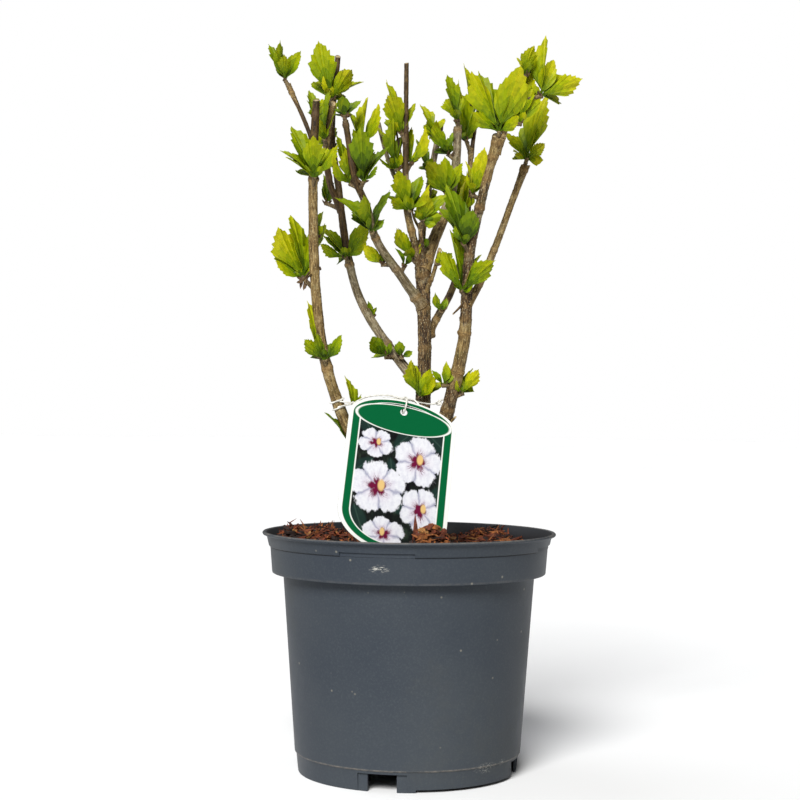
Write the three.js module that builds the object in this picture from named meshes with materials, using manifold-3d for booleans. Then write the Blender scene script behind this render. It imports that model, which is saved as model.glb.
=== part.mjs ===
// A young rose of sharon in a round nursery pot: several bare, pruned stems with tufts of new spring leaves.
// Units are millimetres, +Z is up, +X is to the right and -Y is towards the viewer.
// The origin is the middle of the pot's underside, on the surface that it stands on.

import * as THREE from "three";
import { mergeVertices } from "three/addons/utils/BufferGeometryUtils.js";
import Module from "manifold-3d";

const wasm = await Module();
wasm.setup();

// The clear space between pieces that touch, the finest detail that is kept and the shortest edge allowed.
const GAP = 0.3;
const WIDE_GAP = GAP + 0.05;
const FINEST = 0.05;
const SHORTEST_EDGE = 0.015;

// The pot: a thin moulded shell with a rolled lip, a deep collar, a tapering body and a notched foot ring.
const POT_HEIGHT = 187;
const RIM_RADIUS = 115;
const WALL = 2;
const POT_SIDES = 48;
const LIP_HEIGHT = 2.6;
const LIP_ROUND = 0.7;
const BAND_RADIUS = 112;
const BAND_LOW_RADIUS = 109.8;
const BAND_LOW = 175.6;
const COLLAR_RADIUS = 108.7;
const COLLAR_LOW_RADIUS = 107.2;
const COLLAR_LOW = 155;
const BODY_RADIUS = 98.5;
const BODY_LOW_RADIUS = 88.4;
const SKIRT_HEIGHT = 16.2;
const SKIRT_RADIUS = 87.2;
const FOOT_RADIUS = 85.6;
const FOOT_INNER_RADIUS = 82.8;
const FLOOR_UNDER = SKIRT_HEIGHT - WALL;
const NOTCH_WIDTH = 22.5;
const NOTCH_HEIGHT = 13.6;
const NOTCH_TURN = -13;
const CHEEK_SPAN = 5;
const CHEEK_DEPTH = 0.4;
const RAISED_EDGE = 2.3;
const RAISED_FROM = 17;
const RAISED_TO = 83;
const PANEL_HEIGHT = 2.9;
const PANEL_SPAN = 30;
const CUT_INNER = 70;
const CUT_OUTER = 95;

// The bark-dressed compost fills the pot to a finger's breadth below the rim and heaps up in places.
const SOIL_LEVEL = 172;
const SOIL_AT_WALL = 174.5;
const SEAT_RADIUS = 22;
const SOIL_SIDES = 40;
const SOIL_RINGS = [98, 89, 78, 66, 50, SEAT_RADIUS + 8, SEAT_RADIUS, 0];
const RIPPLE = { rise: 1.1, alongX: 0.23, alongY: 0.19 };
const HEAPS = [
  { x: -72, y: 58, rise: 11, spread: 24 },
  { x: 66, y: 62, rise: 8, spread: 22 },
  { x: 16, y: -92, rise: 20, spread: 9 },
  { x: -40, y: -84, rise: 4, spread: 18 },
];

// The plant label: a stiff plastic card that stands on the compost and leans back against the stems.
const LABEL_WIDTH = 84.8;
const LABEL_SIDE = 78;
const LABEL_TOP_ARCH = 18;
const LABEL_BOTTOM_ARCH = 30;
const LABEL_THICKNESS = 0.8;
const LABEL_CENTRE = new THREE.Vector3(-12.8, -71.6, 203.8);
const LABEL_ACROSS = new THREE.Vector3(0.96, 0.2, -0.197).normalize();
const LABEL_UP = new THREE.Vector3(0.09, 0.447, 0.89);
const EYELET_RADIUS = 2.8;
const EYELET_HEIGHT = 86;

// Its string: the ring through the eyelet, the turns round the left stem, and the knots at the two stems.
const TIE_RADIUS = 0.6;
const TIE_RING_RADIUS = 5.7;
const TIE_TURN_HEIGHTS = [289, 284];
const LEFT_KNOT = [-44, -29, 287];
const RIGHT_KNOT = [22, -14, 288];

// Limbs: a foot on the parent, way points that the limb bends through, and a radius at foot and tip.
const LIMB_SIDES = 7;
const LIMB_STEP = 17;
const FLARE_HEIGHT = 22;
const FLARE = 3.5;
const KNUCKLE_LENGTH = 22;
const LIMBS = [
  { name: "trunk", parent: null, thick: [8.6, 5.2],
    way: [[1, 1, SOIL_LEVEL + GAP], [6, 0, 235], [10, 0, 286], [11, 0, 329], [10, 2, 369], [8, 4, 402]] },
  { name: "left_stem", parent: "trunk", thick: [5.4, 2.2],
    way: [[0, -1, 203], [-29, -10, 238], [-48, -18, 268], [-66, -24, 319],
      [-73, -28, 366], [-76, -33, 460], [-74, -36, 519]] },
  { name: "left_side_twig", parent: "left_stem", thick: [1.8, 1.6], head: 2.4,
    way: [[-74, -31, 459], [-78, -26, 490], [-97, -14, 535]] },
  { name: "inner_left_stem", parent: "trunk", thick: [4.2, 2],
    way: [[9, 2, 301], [-7, 12, 320], [-38, 30, 370], [-51, 40, 411],
      [-59, 47, 460], [-65, 50, 505], [-61, 54, 570]] },
  { name: "inner_left_branch", parent: "inner_left_stem", thick: [2.4, 3.2],
    way: [[-57, 45, 442], [-66, 41, 465], [-69, 36, 490], [-65, 30, 527]] },
  { name: "mid_left_stem", parent: "trunk", thick: [3.9, 2.2],
    way: [[9, 0, 364], [-6, -10, 384], [-28, -26, 415], [-35, -34, 439], [-43, -42, 457], [-51, -50, 501]] },
  { name: "centre_stem", parent: "trunk", thick: [3.3, 1.7],
    way: [[8, 3, 394], [3, -2, 412], [-4, -8, 441], [-5, -7, 490], [-5, -4, 554]] },
  { name: "centre_side_twig", parent: "centre_stem", thick: [1.9, 1.6],
    way: [[-5, -8, 452], [-14, 4, 467], [-21, 12, 487], [-27, 18, 511]] },
  { name: "dead_stub", parent: "trunk", thick: [2.4, 2.1],
    way: [[9, 4, 392], [8, -3, 412], [7, -7, 427]] },
  { name: "back_right_stem", parent: "trunk", thick: [3.5, 2.9],
    way: [[9, 4, 392], [18, 14, 417], [28, 24, 444], [35, 32, 474], [37, 40, 512]] },
  { name: "back_centre_stem", parent: "trunk", thick: [2.9, 2.5],
    way: [[8, 4, 392], [9, 22, 426], [15, 41, 468], [23, 54, 515]] },
  { name: "right_stem", parent: "trunk", thick: [6.5, 3.1], head: 5.4,
    way: [[3, 0, 198], [19, -8, 247], [30, -15, 286], [41, -26, 337],
      [44, -40, 401], [53, -48, 444], [65, -56, 489]] },
  { name: "right_outer_twig", parent: "right_stem", thick: [2.2, 2.1], head: 3.4,
    way: [[43, -33, 363], [53, -26, 381], [64, -18, 407], [89, -2, 475]] },
  { name: "right_top_twig", parent: "right_stem", thick: [2.1, 1.9],
    way: [[64, -55, 476], [71, -56, 498], [81, -60, 537]] },
  { name: "inner_right_stem", parent: "trunk", thick: [3.3, 2],
    way: [[10, 1, 333], [20, 12, 354], [35, 32, 384], [46, 56, 442], [49, 68, 499]] },
  { name: "back_dark_twig", parent: "inner_right_stem", thick: [1.8, 1.6],
    way: [[49, 67, 490], [52, 72, 514], [56, 76, 536]] },
  { name: "trunk_shoot", parent: "trunk", thick: [1.8, 1.5],
    way: [[10, 1, 371], [17, -6, 388], [22, -14, 407]] },
];

// Leaf tufts: the limb and the share of its length where the tuft's stem leaves, the stem's reach from there,
// and its leading leaves as [lean to the right, reach, breadth, lean towards the viewer].
// Further leaves grow by a seeded rule on the side away from the viewer.
const STEM_SIDES = 4;
const STEM_RADIUS = 1.2;
const BUD_RADIUS = 2.6;
const BUD_CLEARANCE = 4.5;
const TRIES = [
  [0, 0], [0.1, 0], [-0.1, 0], [0.3, 0], [-0.3, 0], [0, 0.3],
  [0, -0.3], [0.6, 0], [-0.6, 0], [0.4, 0.5], [0.4, -0.5],
];
const BACK_LEAN = { least: 25, spread: 45 };
const BACK_SWING = 24;
const BACK_WIDENING = 3;
const LEAF_SLIMNESS = 0.46;
const LEAF_SINK = 0.4;
const STALK_HALF = 0.7;
const LEAF_THICKNESS = 0.9;
const LEAF_THINNING = 0.4;
const LEAF_CUP = 0.32;
const LEAF_CURL = 0.1;
const LEAF_STATIONS = [[0, 0.05], [0.16, 0.07], [0.52, 1]];
const TUFTS = [
  { name: "left_stem_tip_leaves", on: "left_stem", at: 0.95, out: [-1, 6, 4], more: 1,
    leaves: [[-5, 25, 11, -20], [20, 24, 5, -35]] },
  { name: "left_stem_upper_leaves", on: "left_stem", at: 0.8, out: [1, -6, 7], more: 2,
    leaves: [[0, 32, 18, 25], [-20, 50, 20, -25], [-55, 34, 4, -5], [-60, 27, 3, 15], [40, 30, 7, 15]] },
  { name: "left_stem_middle_leaves", on: "left_stem", at: 0.57, out: [-10, 7, 10], more: 3,
    leaves: [[-35, 39, 21, 15], [-5, 47, 9, 5], [5, 31, 11, -10], [-65, 30, 4, 25], [20, 53, 9, -30]] },
  { name: "left_stem_lower_leaves", on: "left_stem", at: 0.39, out: [-1, -6, 5], more: 2,
    leaves: [[-55, 26, 13, 35], [50, 21, 8, 20], [-10, 42, 6, 0]] },
  { name: "left_stem_foot_leaves", on: "left_stem", at: 0.24, out: [5, 4, 6], more: 1,
    leaves: [[-10, 32, 6, 5], [10, 24, 4, -15], [-65, 23, 3, 15]] },
  { name: "left_twig_leaves", on: "left_side_twig", at: 0.96, out: [-3, 0, 5], more: 2,
    leaves: [[-20, 34, 8, -10], [-10, 34, 5, 15], [0, 25, 10, 35], [25, 27, 11, 10]] },
  { name: "inner_left_top_leaves", on: "inner_left_stem", at: 0.85, out: [-1, -5, 8], more: 3,
    leaves: [[-20, 48, 22, 10], [35, 34, 14, 30], [55, 29, 3, 0], [15, 31, 7, -25], [-20, 21, 5, 15]] },
  { name: "inner_left_middle_leaves", on: "inner_left_stem", at: 0.41, out: [-3, -5, 5], more: 2,
    leaves: [[-60, 21, 7, 20], [-20, 36, 5, 0], [-35, 32, 3, -15], [20, 33, 10, 10]] },
  { name: "inner_left_lower_leaves", on: "inner_left_stem", at: 0.11, out: [-8, -5, 0], more: 1,
    leaves: [[-30, 22, 15, 35]] },
  { name: "inner_left_bud", on: "inner_left_stem", at: 0.22, out: [1, 3, 6], more: 1,
    leaves: [[-15, 13, 5, 0], [10, 8, 3, -20]] },
  { name: "inner_left_fork_leaves", on: "inner_left_stem", at: 0.57, out: [-12, 4, 5], more: 1,
    leaves: [[0, 23, 6, 0], [15, 20, 4, -20]] },
  { name: "inner_left_branch_leaves", on: "inner_left_branch", at: 0.61, out: [-1, -5, 4], more: 1,
    leaves: [[0, 42, 7, 10], [-20, 18, 5, 20]] },
  { name: "mid_left_upper_leaves", on: "mid_left_stem", at: 0.67, out: [3, -5, 5], more: 1,
    leaves: [[0, 38, 18, 25], [30, 32, 4, -10], [40, 17, 2, 20], [15, 29, 7, -30]] },
  { name: "mid_left_shoot_leaves", on: "mid_left_stem", at: 0.85, out: [8, 4, 5], more: 2,
    leaves: [[5, 37, 9, 0], [-15, 32, 6, -20], [25, 36, 9, 15], [-15, 20, 4, -40]] },
  { name: "mid_left_top_leaves", on: "mid_left_stem", at: 0.98, out: [-1, -2, 5], more: 1,
    leaves: [[-10, 18, 9, 30], [30, 19, 6, 0], [-45, 13, 5, -30]] },
  { name: "mid_left_bend_leaves", on: "mid_left_stem", at: 0.42, out: [-2, -6, 3], more: 2,
    leaves: [[-40, 41, 11, 10], [-10, 34, 10, 30], [10, 37, 5, -10]] },
  { name: "mid_left_lower_leaf", on: "mid_left_stem", at: 0.26, out: [-8, 0, 0], more: 0,
    leaves: [[-50, 21, 10, 10]] },
  { name: "mid_left_spur_leaves", on: "mid_left_stem", at: 0.68, out: [-6, 4, 3], more: 1,
    leaves: [[-15, 38, 8, 0], [-15, 28, 8, 20], [-40, 25, 6, 35]] },
  { name: "centre_lower_leaves", on: "centre_stem", at: 0.26, out: [1, -6, 3], more: 2,
    leaves: [[-15, 32, 17, 20], [15, 29, 9, -5], [-75, 20, 9, 35], [-55, 22, 2, 0], [40, 25, 5, 10]] },
  { name: "centre_top_leaves", on: "centre_stem", at: 0.61, out: [-3, -1, 7], more: 2,
    leaves: [[-25, 34, 17, 20], [-20, 48, 7, -20], [-10, 40, 8, -30], [20, 32, 5, -25]] },
  { name: "centre_left_leaves", on: "centre_stem", at: 0.44, out: [-7, 2, 7], more: 1,
    leaves: [[-10, 39, 9, 10], [-15, 41, 5, -15], [-60, 18, 3, 25], [5, 34, 6, -30]] },
  { name: "centre_right_leaves", on: "centre_stem", at: 0.47, out: [4, 3, 7], more: 1,
    leaves: [[5, 28, 6, -20], [30, 23, 11, 10]] },
  { name: "dead_stub_leaves", on: "dead_stub", at: 0.94, out: [1, -4, 4], more: 1,
    leaves: [[15, 22, 13, 25], [35, 28, 10, 0], [-25, 14, 4, 15]] },
  { name: "back_right_leaves", on: "back_right_stem", at: 0.77, out: [-5, 1, 4], more: 2,
    leaves: [[-35, 27, 12, 10], [10, 19, 5, -20]] },
  { name: "back_centre_top_leaves", on: "back_centre_stem", at: 0.88, out: [-1, -3, 4], more: 3,
    leaves: [[-20, 32, 10, 5], [10, 23, 5, -30], [-65, 15, 3, 20]] },
  { name: "back_centre_leaf", on: "back_centre_stem", at: 0.64, out: [-4, 1, 4], more: 1,
    leaves: [[-20, 21, 6, 0]] },
  { name: "trunk_front_leaves", on: "trunk", at: 0.49, out: [-2, -9, 7], more: 0,
    leaves: [[-20, 32, 13, 15], [-15, 28, 8, -5], [20, 24, 11, 15], [35, 23, 4, 30], [55, 23, 7, 0]] },
  { name: "trunk_fork_leaves", on: "trunk", at: 0.96, out: [-8, -3, 8], more: 1,
    leaves: [[-30, 30, 14, 15], [-15, 34, 5, -25]] },
  { name: "right_stem_foot_leaves", on: "right_stem", at: 0.31, out: [7, -2, 3], more: 2,
    leaves: [[35, 27, 14, 10], [15, 27, 5, -25]] },
  { name: "right_stem_middle_leaves", on: "right_stem", at: 0.58, out: [-4, -7, 7], more: 0,
    leaves: [[-30, 35, 13, 20], [-10, 46, 9, 0], [45, 32, 14, 20], [70, 12, 4, 40]] },
  { name: "right_stem_upper_leaves", on: "right_stem", at: 0.7, out: [-4, -6, 6], more: 1,
    leaves: [[5, 30, 15, 30], [-25, 15, 5, 15], [-25, 47, 9, 10]] },
  { name: "right_stem_side_leaves", on: "right_stem", at: 0.84, out: [-6, 3, 3], more: 1,
    leaves: [[15, 36, 13, 10], [-5, 28, 5, -15]] },
  { name: "right_stem_top_leaves", on: "right_stem", at: 0.98, out: [1, -2, 6], more: 2,
    leaves: [[-10, 52, 23, 10], [10, 59, 25, 15], [-50, 28, 9, 25], [45, 28, 7, 35], [0, 50, 4, -30]] },
  { name: "right_outer_top_leaves", on: "right_outer_twig", at: 0.97, out: [2, 0, 7], more: 3,
    leaves: [[10, 58, 24, 10], [-30, 30, 7, 5], [45, 20, 9, 25], [80, 16, 6, 35]] },
  { name: "right_top_side_leaves", on: "right_top_twig", at: 0.66, out: [20, -7, 2], more: 1,
    leaves: [[15, 33, 14, 0], [52, 32, 15, 28]] },
  { name: "right_top_leaves", on: "right_top_twig", at: 0.88, out: [5, -3, 4], more: 2,
    leaves: [[5, 26, 12, 15], [25, 38, 7, -5], [20, 27, 4, -30]] },
  { name: "inner_right_lower_leaves", on: "inner_right_stem", at: 0.15, out: [2, -5, 3], more: 0,
    leaves: [[-20, 16, 7, 15], [20, 10, 5, 0]] },
  { name: "inner_right_middle_leaves", on: "inner_right_stem", at: 0.66, out: [-3, -4, 5], more: 2,
    leaves: [[-25, 42, 18, 15], [5, 42, 10, -10], [-10, 32, 8, 30]] },
  { name: "inner_right_top_leaves", on: "inner_right_stem", at: 0.97, out: [-4, -2, 10], more: 2,
    leaves: [[-15, 54, 11, 5], [0, 62, 8, -10], [-5, 50, 8, 15],
      [-30, 37, 6, 30], [20, 24, 7, 25], [5, 48, 4, -30]] },
];

const COLOURS = {
  pot: ["#4d555e", 0.45],
  soil: ["#5a3420", 0.95],
  label: ["#eeeee6", 0.35],
  tie: ["#d8d6cc", 0.8],
  bark: ["#857350", 0.85],
  leaf: ["#8fa30a", 0.6],
};

const object = new THREE.Group();
const solids = new Map();

function material(kind) {
  const [color, roughness] = COLOURS[kind];
  return new THREE.MeshStandardMaterial({ color, roughness, metalness: 0 });
}

function signedVolume(geometry) {
  const position = geometry.getAttribute("position");
  const index = geometry.getIndex();
  const corner = [new THREE.Vector3(), new THREE.Vector3(), new THREE.Vector3()];
  let volume = 0;
  for (let i = 0; i < index.count; i += 3) {
    corner.forEach((v, k) => v.fromBufferAttribute(position, index.getX(i + k)));
    volume += corner[0].dot(corner[1].clone().cross(corner[2])) / 6;
  }
  return volume;
}

// Turns a closed three.js geometry into a solid, its faces pointing out.
function toSolid(geometry) {
  const bare = geometry.clone();
  bare.deleteAttribute("normal");
  bare.deleteAttribute("uv");
  const merged = mergeVertices(bare, 1e-3);
  const triangles = Uint32Array.from(merged.getIndex().array);
  if (signedVolume(merged) < 0) {
    for (let i = 0; i < triangles.length; i += 3) {
      [triangles[i + 1], triangles[i + 2]] = [triangles[i + 2], triangles[i + 1]];
    }
  }
  const vertProperties = Float32Array.from(merged.getAttribute("position").array);
  return new wasm.Manifold(new wasm.Mesh({ numProp: 3, vertProperties, triVerts: triangles }));
}

// The largest piece of a solid, without slivers, loose scraps and sealed hollows.
function largest(solid) {
  const pieces = solid.simplify(FINEST).decompose();
  return pieces.reduce((best, piece) => (piece.volume() > best.volume() ? piece : best));
}

function addNode(name, solid, kind) {
  const mesh = solid.getMesh();
  const geometry = new THREE.BufferGeometry();
  geometry.setAttribute("position", new THREE.BufferAttribute(Float32Array.from(mesh.vertProperties), 3));
  geometry.setIndex(new THREE.BufferAttribute(Uint32Array.from(mesh.triVerts), 1));
  geometry.computeVertexNormals();
  const node = new THREE.Mesh(geometry, material(kind));
  node.name = name;
  object.add(node);
  solids.set(name, solid);
}

function boxesMeet(a, b) {
  const [p, q] = [a.boundingBox(), b.boundingBox()];
  return [0, 1, 2].every((k) => p.min[k] < q.max[k] && q.min[k] < p.max[k]);
}

function touches(a, b) {
  return boxesMeet(a, b) && !a.intersect(b).isEmpty();
}

// Repeatable draws between 0 and 1.
function seeded(seed) {
  let state = seed;
  return () => {
    state = (state * 1664525 + 1013904223) % 4294967296;
    return state / 4294967296;
  };
}

function turned(profile, sides) {
  const points = profile.map(([radius, height]) => new THREE.Vector2(radius, height));
  const geometry = new THREE.LatheGeometry(points, sides);
  geometry.rotateX(Math.PI / 2);
  return geometry;
}

// A block between two radii and two angles, measured from the front and positive to the right.
function ringSector(inner, outer, from, to, low, high) {
  const [start, end] = [from, to].map((angle) => THREE.MathUtils.degToRad(angle - 90));
  const shape = new THREE.Shape();
  shape.absarc(0, 0, outer, start, end, false);
  shape.absarc(0, 0, inner, end, start, true);
  const depth = high - low;
  const geometry = new THREE.ExtrudeGeometry(shape, { depth, bevelEnabled: false, curveSegments: 4 });
  geometry.translate(0, 0, low);
  return toSolid(geometry);
}

function buildPot() {
  const outside = [
    [FOOT_RADIUS, 0],
    [SKIRT_RADIUS, SKIRT_HEIGHT - 0.8],
    [BODY_LOW_RADIUS, SKIRT_HEIGHT],
    [BODY_RADIUS, COLLAR_LOW],
    [COLLAR_LOW_RADIUS, COLLAR_LOW],
    [COLLAR_RADIUS, BAND_LOW],
    [BAND_LOW_RADIUS, BAND_LOW + 0.4],
    [BAND_RADIUS, POT_HEIGHT - LIP_HEIGHT],
    [RIM_RADIUS - LIP_ROUND, POT_HEIGHT - LIP_HEIGHT],
    [RIM_RADIUS, POT_HEIGHT - LIP_HEIGHT / 2],
    [RIM_RADIUS - LIP_ROUND, POT_HEIGHT],
    [BAND_RADIUS + 0.3, POT_HEIGHT],
  ];
  const inside = [
    [BAND_LOW_RADIUS - WALL, BAND_LOW],
    [COLLAR_LOW_RADIUS - WALL, COLLAR_LOW + WALL],
    [BODY_RADIUS - WALL, COLLAR_LOW - 1.5],
    [BODY_LOW_RADIUS - WALL, SKIRT_HEIGHT + 2],
    [BODY_LOW_RADIUS - 2.2 * WALL, SKIRT_HEIGHT],
    [0, SKIRT_HEIGHT],
  ];
  const underside = [[0, FLOOR_UNDER], [FOOT_INNER_RADIUS + 1, FLOOR_UNDER], [FOOT_INNER_RADIUS, 0]];
  let pot = toSolid(turned([...underside, ...outside, ...inside], POT_SIDES));
  const notchHalf = THREE.MathUtils.radToDeg(NOTCH_WIDTH / 2 / FOOT_RADIUS);
  for (let quarter = 0; quarter < 4; quarter += 1) {
    const middle = NOTCH_TURN + 90 * quarter;
    const [notchFrom, notchTo] = [middle - notchHalf, middle + notchHalf];
    pot = pot.subtract(ringSector(CUT_INNER, CUT_OUTER, notchFrom, notchTo, -1, NOTCH_HEIGHT));
    const cheeks = [[-notchHalf - CHEEK_SPAN, -notchHalf + 1], [notchHalf - 1, notchHalf + CHEEK_SPAN]];
    for (const [from, to] of cheeks) {
      const cheekRadius = FOOT_RADIUS - CHEEK_DEPTH;
      pot = pot.subtract(ringSector(cheekRadius, CUT_OUTER, middle + from, middle + to, -1, NOTCH_HEIGHT));
    }
    const [panelFrom, panelTo] = [middle - PANEL_SPAN / 2, middle + PANEL_SPAN / 2];
    pot = pot.subtract(ringSector(COLLAR_RADIUS + 0.1, RIM_RADIUS, panelFrom, panelTo,
      BAND_LOW - 1, BAND_LOW + PANEL_HEIGHT));
    if (quarter % 2 === 0) {
      const [from, to] = [middle + RAISED_FROM, middle + RAISED_TO];
      pot = pot.subtract(ringSector(CUT_INNER, CUT_OUTER, from, to, -1, RAISED_EDGE));
    }
  }
  return largest(pot);
}

function soilHeight(x, y) {
  const radius = Math.hypot(x, y);
  if (radius < SEAT_RADIUS) return SOIL_LEVEL;
  const share = (radius - SEAT_RADIUS) / (RIM_RADIUS - SEAT_RADIUS);
  let height = SOIL_LEVEL + (SOIL_AT_WALL - SOIL_LEVEL) * share;
  height += RIPPLE.rise * share * Math.sin(RIPPLE.alongX * x + 1) * Math.cos(RIPPLE.alongY * y);
  for (const heap of HEAPS) {
    const away = Math.hypot(x - heap.x, y - heap.y) / heap.spread;
    height += heap.rise * Math.exp(-away * away);
  }
  return height;
}

function buildSoil(label) {
  const side = [
    [BODY_LOW_RADIUS - 2.2 * WALL - GAP, SKIRT_HEIGHT + GAP],
    [BODY_LOW_RADIUS - WALL - 1.5 * GAP, SKIRT_HEIGHT + 2.4],
    [BODY_RADIUS - WALL - 1.5 * GAP, COLLAR_LOW - 1.2],
    [COLLAR_LOW_RADIUS - WALL - 1.5 * GAP, COLLAR_LOW + WALL + GAP],
  ];
  const wallShare = (SOIL_AT_WALL - COLLAR_LOW - WALL) / (BAND_LOW - COLLAR_LOW - WALL);
  const wallRadius = THREE.MathUtils.lerp(COLLAR_LOW_RADIUS, BAND_LOW_RADIUS, wallShare) - WALL - 1.5 * GAP;
  const top = [wallRadius, ...SOIL_RINGS].map((radius) => [radius, SOIL_AT_WALL]);
  const geometry = turned([[0, SKIRT_HEIGHT + GAP], ...side, ...top], SOIL_SIDES);
  const position = geometry.getAttribute("position");
  for (let i = 0; i < position.count; i += 1) {
    const [x, y] = [position.getX(i), position.getY(i)];
    const onTop = Math.abs(position.getZ(i) - SOIL_AT_WALL) < 0.01;
    if (onTop && Math.hypot(x, y) < wallRadius - 1) position.setZ(i, soilHeight(x, y));
  }
  return largest(toSolid(geometry).subtract(label));
}

function labelMatrix() {
  const up = LABEL_UP.clone().addScaledVector(LABEL_ACROSS, -LABEL_UP.dot(LABEL_ACROSS)).normalize();
  const out = LABEL_ACROSS.clone().cross(up);
  return new THREE.Matrix4().makeBasis(LABEL_ACROSS, up, out).setPosition(LABEL_CENTRE);
}

// The card, drum-shaped, its two long sides straight; grown on every side by extra.
function buildLabel(extra) {
  const half = LABEL_WIDTH / 2 + extra;
  const shape = new THREE.Shape();
  shape.absellipse(0, LABEL_SIDE, half, LABEL_TOP_ARCH + extra, 0, Math.PI, false, 0);
  shape.absellipse(0, 0, half, LABEL_BOTTOM_ARCH + extra, Math.PI, 2 * Math.PI, false, 0);
  if (extra === 0) {
    const eyelet = new THREE.Path();
    eyelet.absarc(0, EYELET_HEIGHT, EYELET_RADIUS, 0, 2 * Math.PI, true);
    shape.holes.push(eyelet);
  }
  const depth = LABEL_THICKNESS + 2 * extra;
  const geometry = new THREE.ExtrudeGeometry(shape, { depth, bevelEnabled: false, curveSegments: 7 });
  geometry.translate(0, 0, -extra);
  geometry.applyMatrix4(labelMatrix());
  return toSolid(geometry);
}

function roundTube(points, radius, step) {
  const curve = new THREE.CatmullRomCurve3(points.map((p) => new THREE.Vector3(...p)));
  const section = new THREE.Shape();
  section.absarc(0, 0, radius, 0, 2 * Math.PI, false);
  const steps = Math.max(2, Math.round(curve.getLength() / step));
  return toSolid(new THREE.ExtrudeGeometry(section, { steps, extrudePath: curve, curveSegments: 3 }));
}

function ball(centre, radius) {
  const geometry = new THREE.OctahedronGeometry(radius, 0);
  geometry.translate(...centre);
  return toSolid(geometry);
}

// The string: a ring through the eyelet, two turns round the left stem and an end knotted at the right stem.
function buildTie() {
  const eyeletRing = new THREE.TorusGeometry(TIE_RING_RADIUS, TIE_RADIUS, 5, 12);
  eyeletRing.rotateY(Math.PI / 2);
  eyeletRing.translate(0, EYELET_HEIGHT + 5.4, LABEL_THICKNESS / 2);
  eyeletRing.applyMatrix4(labelMatrix());
  let tie = toSolid(eyeletRing);
  const stem = limbCurve("left_stem");
  for (const height of TIE_TURN_HEIGHTS) {
    const share = shareAtHeight(stem, height);
    const centre = stem.getPointAt(share);
    const turnRadius = limbRadius("left_stem", share) + GAP + TIE_RADIUS + 0.1;
    const turn = new THREE.TorusGeometry(turnRadius, TIE_RADIUS, 5, 12);
    turn.lookAt(stem.getTangentAt(share));
    turn.translate(...centre.toArray());
    tie = tie.add(toSolid(turn));
    tie = tie.add(roundTube([[centre.x + 1, centre.y - 6, height], LEFT_KNOT], TIE_RADIUS, 4));
  }
  const knotOnLabel = new THREE.Vector3(0, EYELET_HEIGHT + 11.4, LABEL_THICKNESS / 2);
  const knot = knotOnLabel.applyMatrix4(labelMatrix()).toArray();
  tie = tie.add(roundTube([LEFT_KNOT, [-34, -33, 292], [-18, -31, 293], knot], TIE_RADIUS, 5));
  tie = tie.add(roundTube([knot, [8, -19, 288], [17, -13, 287], RIGHT_KNOT], TIE_RADIUS, 5));
  for (const [centre, radius] of [[LEFT_KNOT, 1.3], [knot, 1.9], [RIGHT_KNOT, 2]]) {
    tie = tie.add(ball(centre, radius));
  }
  return tie;
}

function limbData(name) {
  return LIMBS.find((limb) => limb.name === name);
}

function limbCurve(name) {
  const points = limbData(name).way.map((p) => new THREE.Vector3(...p));
  return new THREE.CatmullRomCurve3(points, false, "centripetal");
}

function shareAtHeight(curve, height) {
  let share = 0;
  while (share < 1 && curve.getPointAt(share).z < height) share += 0.005;
  return share;
}

// A limb tapers evenly; the trunk flares at its foot and some limbs swell to a knuckle at the tip.
function limbRadius(name, share) {
  const { thick, head, parent } = limbData(name);
  const length = limbCurve(name).getLength();
  let radius = THREE.MathUtils.lerp(thick[0], thick[1], share);
  if (parent === null) radius += FLARE * Math.max(0, 1 - (share * length) / FLARE_HEIGHT) ** 2;
  if (head) radius += (head - thick[1]) * Math.max(0, 1 - ((1 - share) * length) / KNUCKLE_LENGTH);
  return radius;
}

// A turned rod bent along its route, grown all round by extra.
function rod(curve, radiusAt, sides, step, extra) {
  const length = curve.getLength();
  const count = Math.max(2, Math.round(length / step));
  const stations = Array.from({ length: count + 1 }, (_, i) => i / count);
  const profile = [[0, 0], ...stations.map((share) => [radiusAt(share) + extra, share]), [0, 1]];
  const points = profile.map(([radius, share]) => new THREE.Vector2(radius, share));
  const geometry = new THREE.LatheGeometry(points, sides);
  const frames = curve.computeFrenetFrames(count, false);
  const position = geometry.getAttribute("position");
  const vertex = new THREE.Vector3();
  for (let i = 0; i < position.count; i += 1) {
    const share = position.getY(i);
    const station = Math.round(share * count);
    const overrun = share === 0 ? -extra : share === 1 ? extra : 0;
    vertex.copy(curve.getPointAt(share));
    vertex.addScaledVector(frames.normals[station], position.getX(i));
    vertex.addScaledVector(frames.binormals[station], position.getZ(i));
    vertex.addScaledVector(frames.tangents[station], overrun);
    position.setXYZ(i, vertex.x, vertex.y, vertex.z);
  }
  return toSolid(geometry);
}

function limbSolid(name, extra) {
  const sides = limbData(name).thick[0] > 3 ? LIMB_SIDES : LIMB_SIDES - 2;
  return rod(limbCurve(name), (share) => limbRadius(name, share), sides, LIMB_STEP, extra);
}

// Every limb, each cut clear of those that stand before it in the list.
function buildLimbs() {
  const clearances = [];
  for (const { name, parent } of LIMBS) {
    let solid = limbSolid(name, 0);
    for (const clearance of clearances) {
      if (boxesMeet(solid, clearance)) solid = solid.subtract(clearance);
    }
    solid = largest(solid);
    if (parent === null) {
      const floor = new THREE.BoxGeometry(80, 80, 20);
      floor.translate(0, 0, SOIL_LEVEL + GAP - 10);
      solid = solid.subtract(toSolid(floor));
    }
    addNode(name, solid, "bark");
    clearances.push(limbSolid(name, WIDE_GAP));
  }
  return clearances;
}

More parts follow.
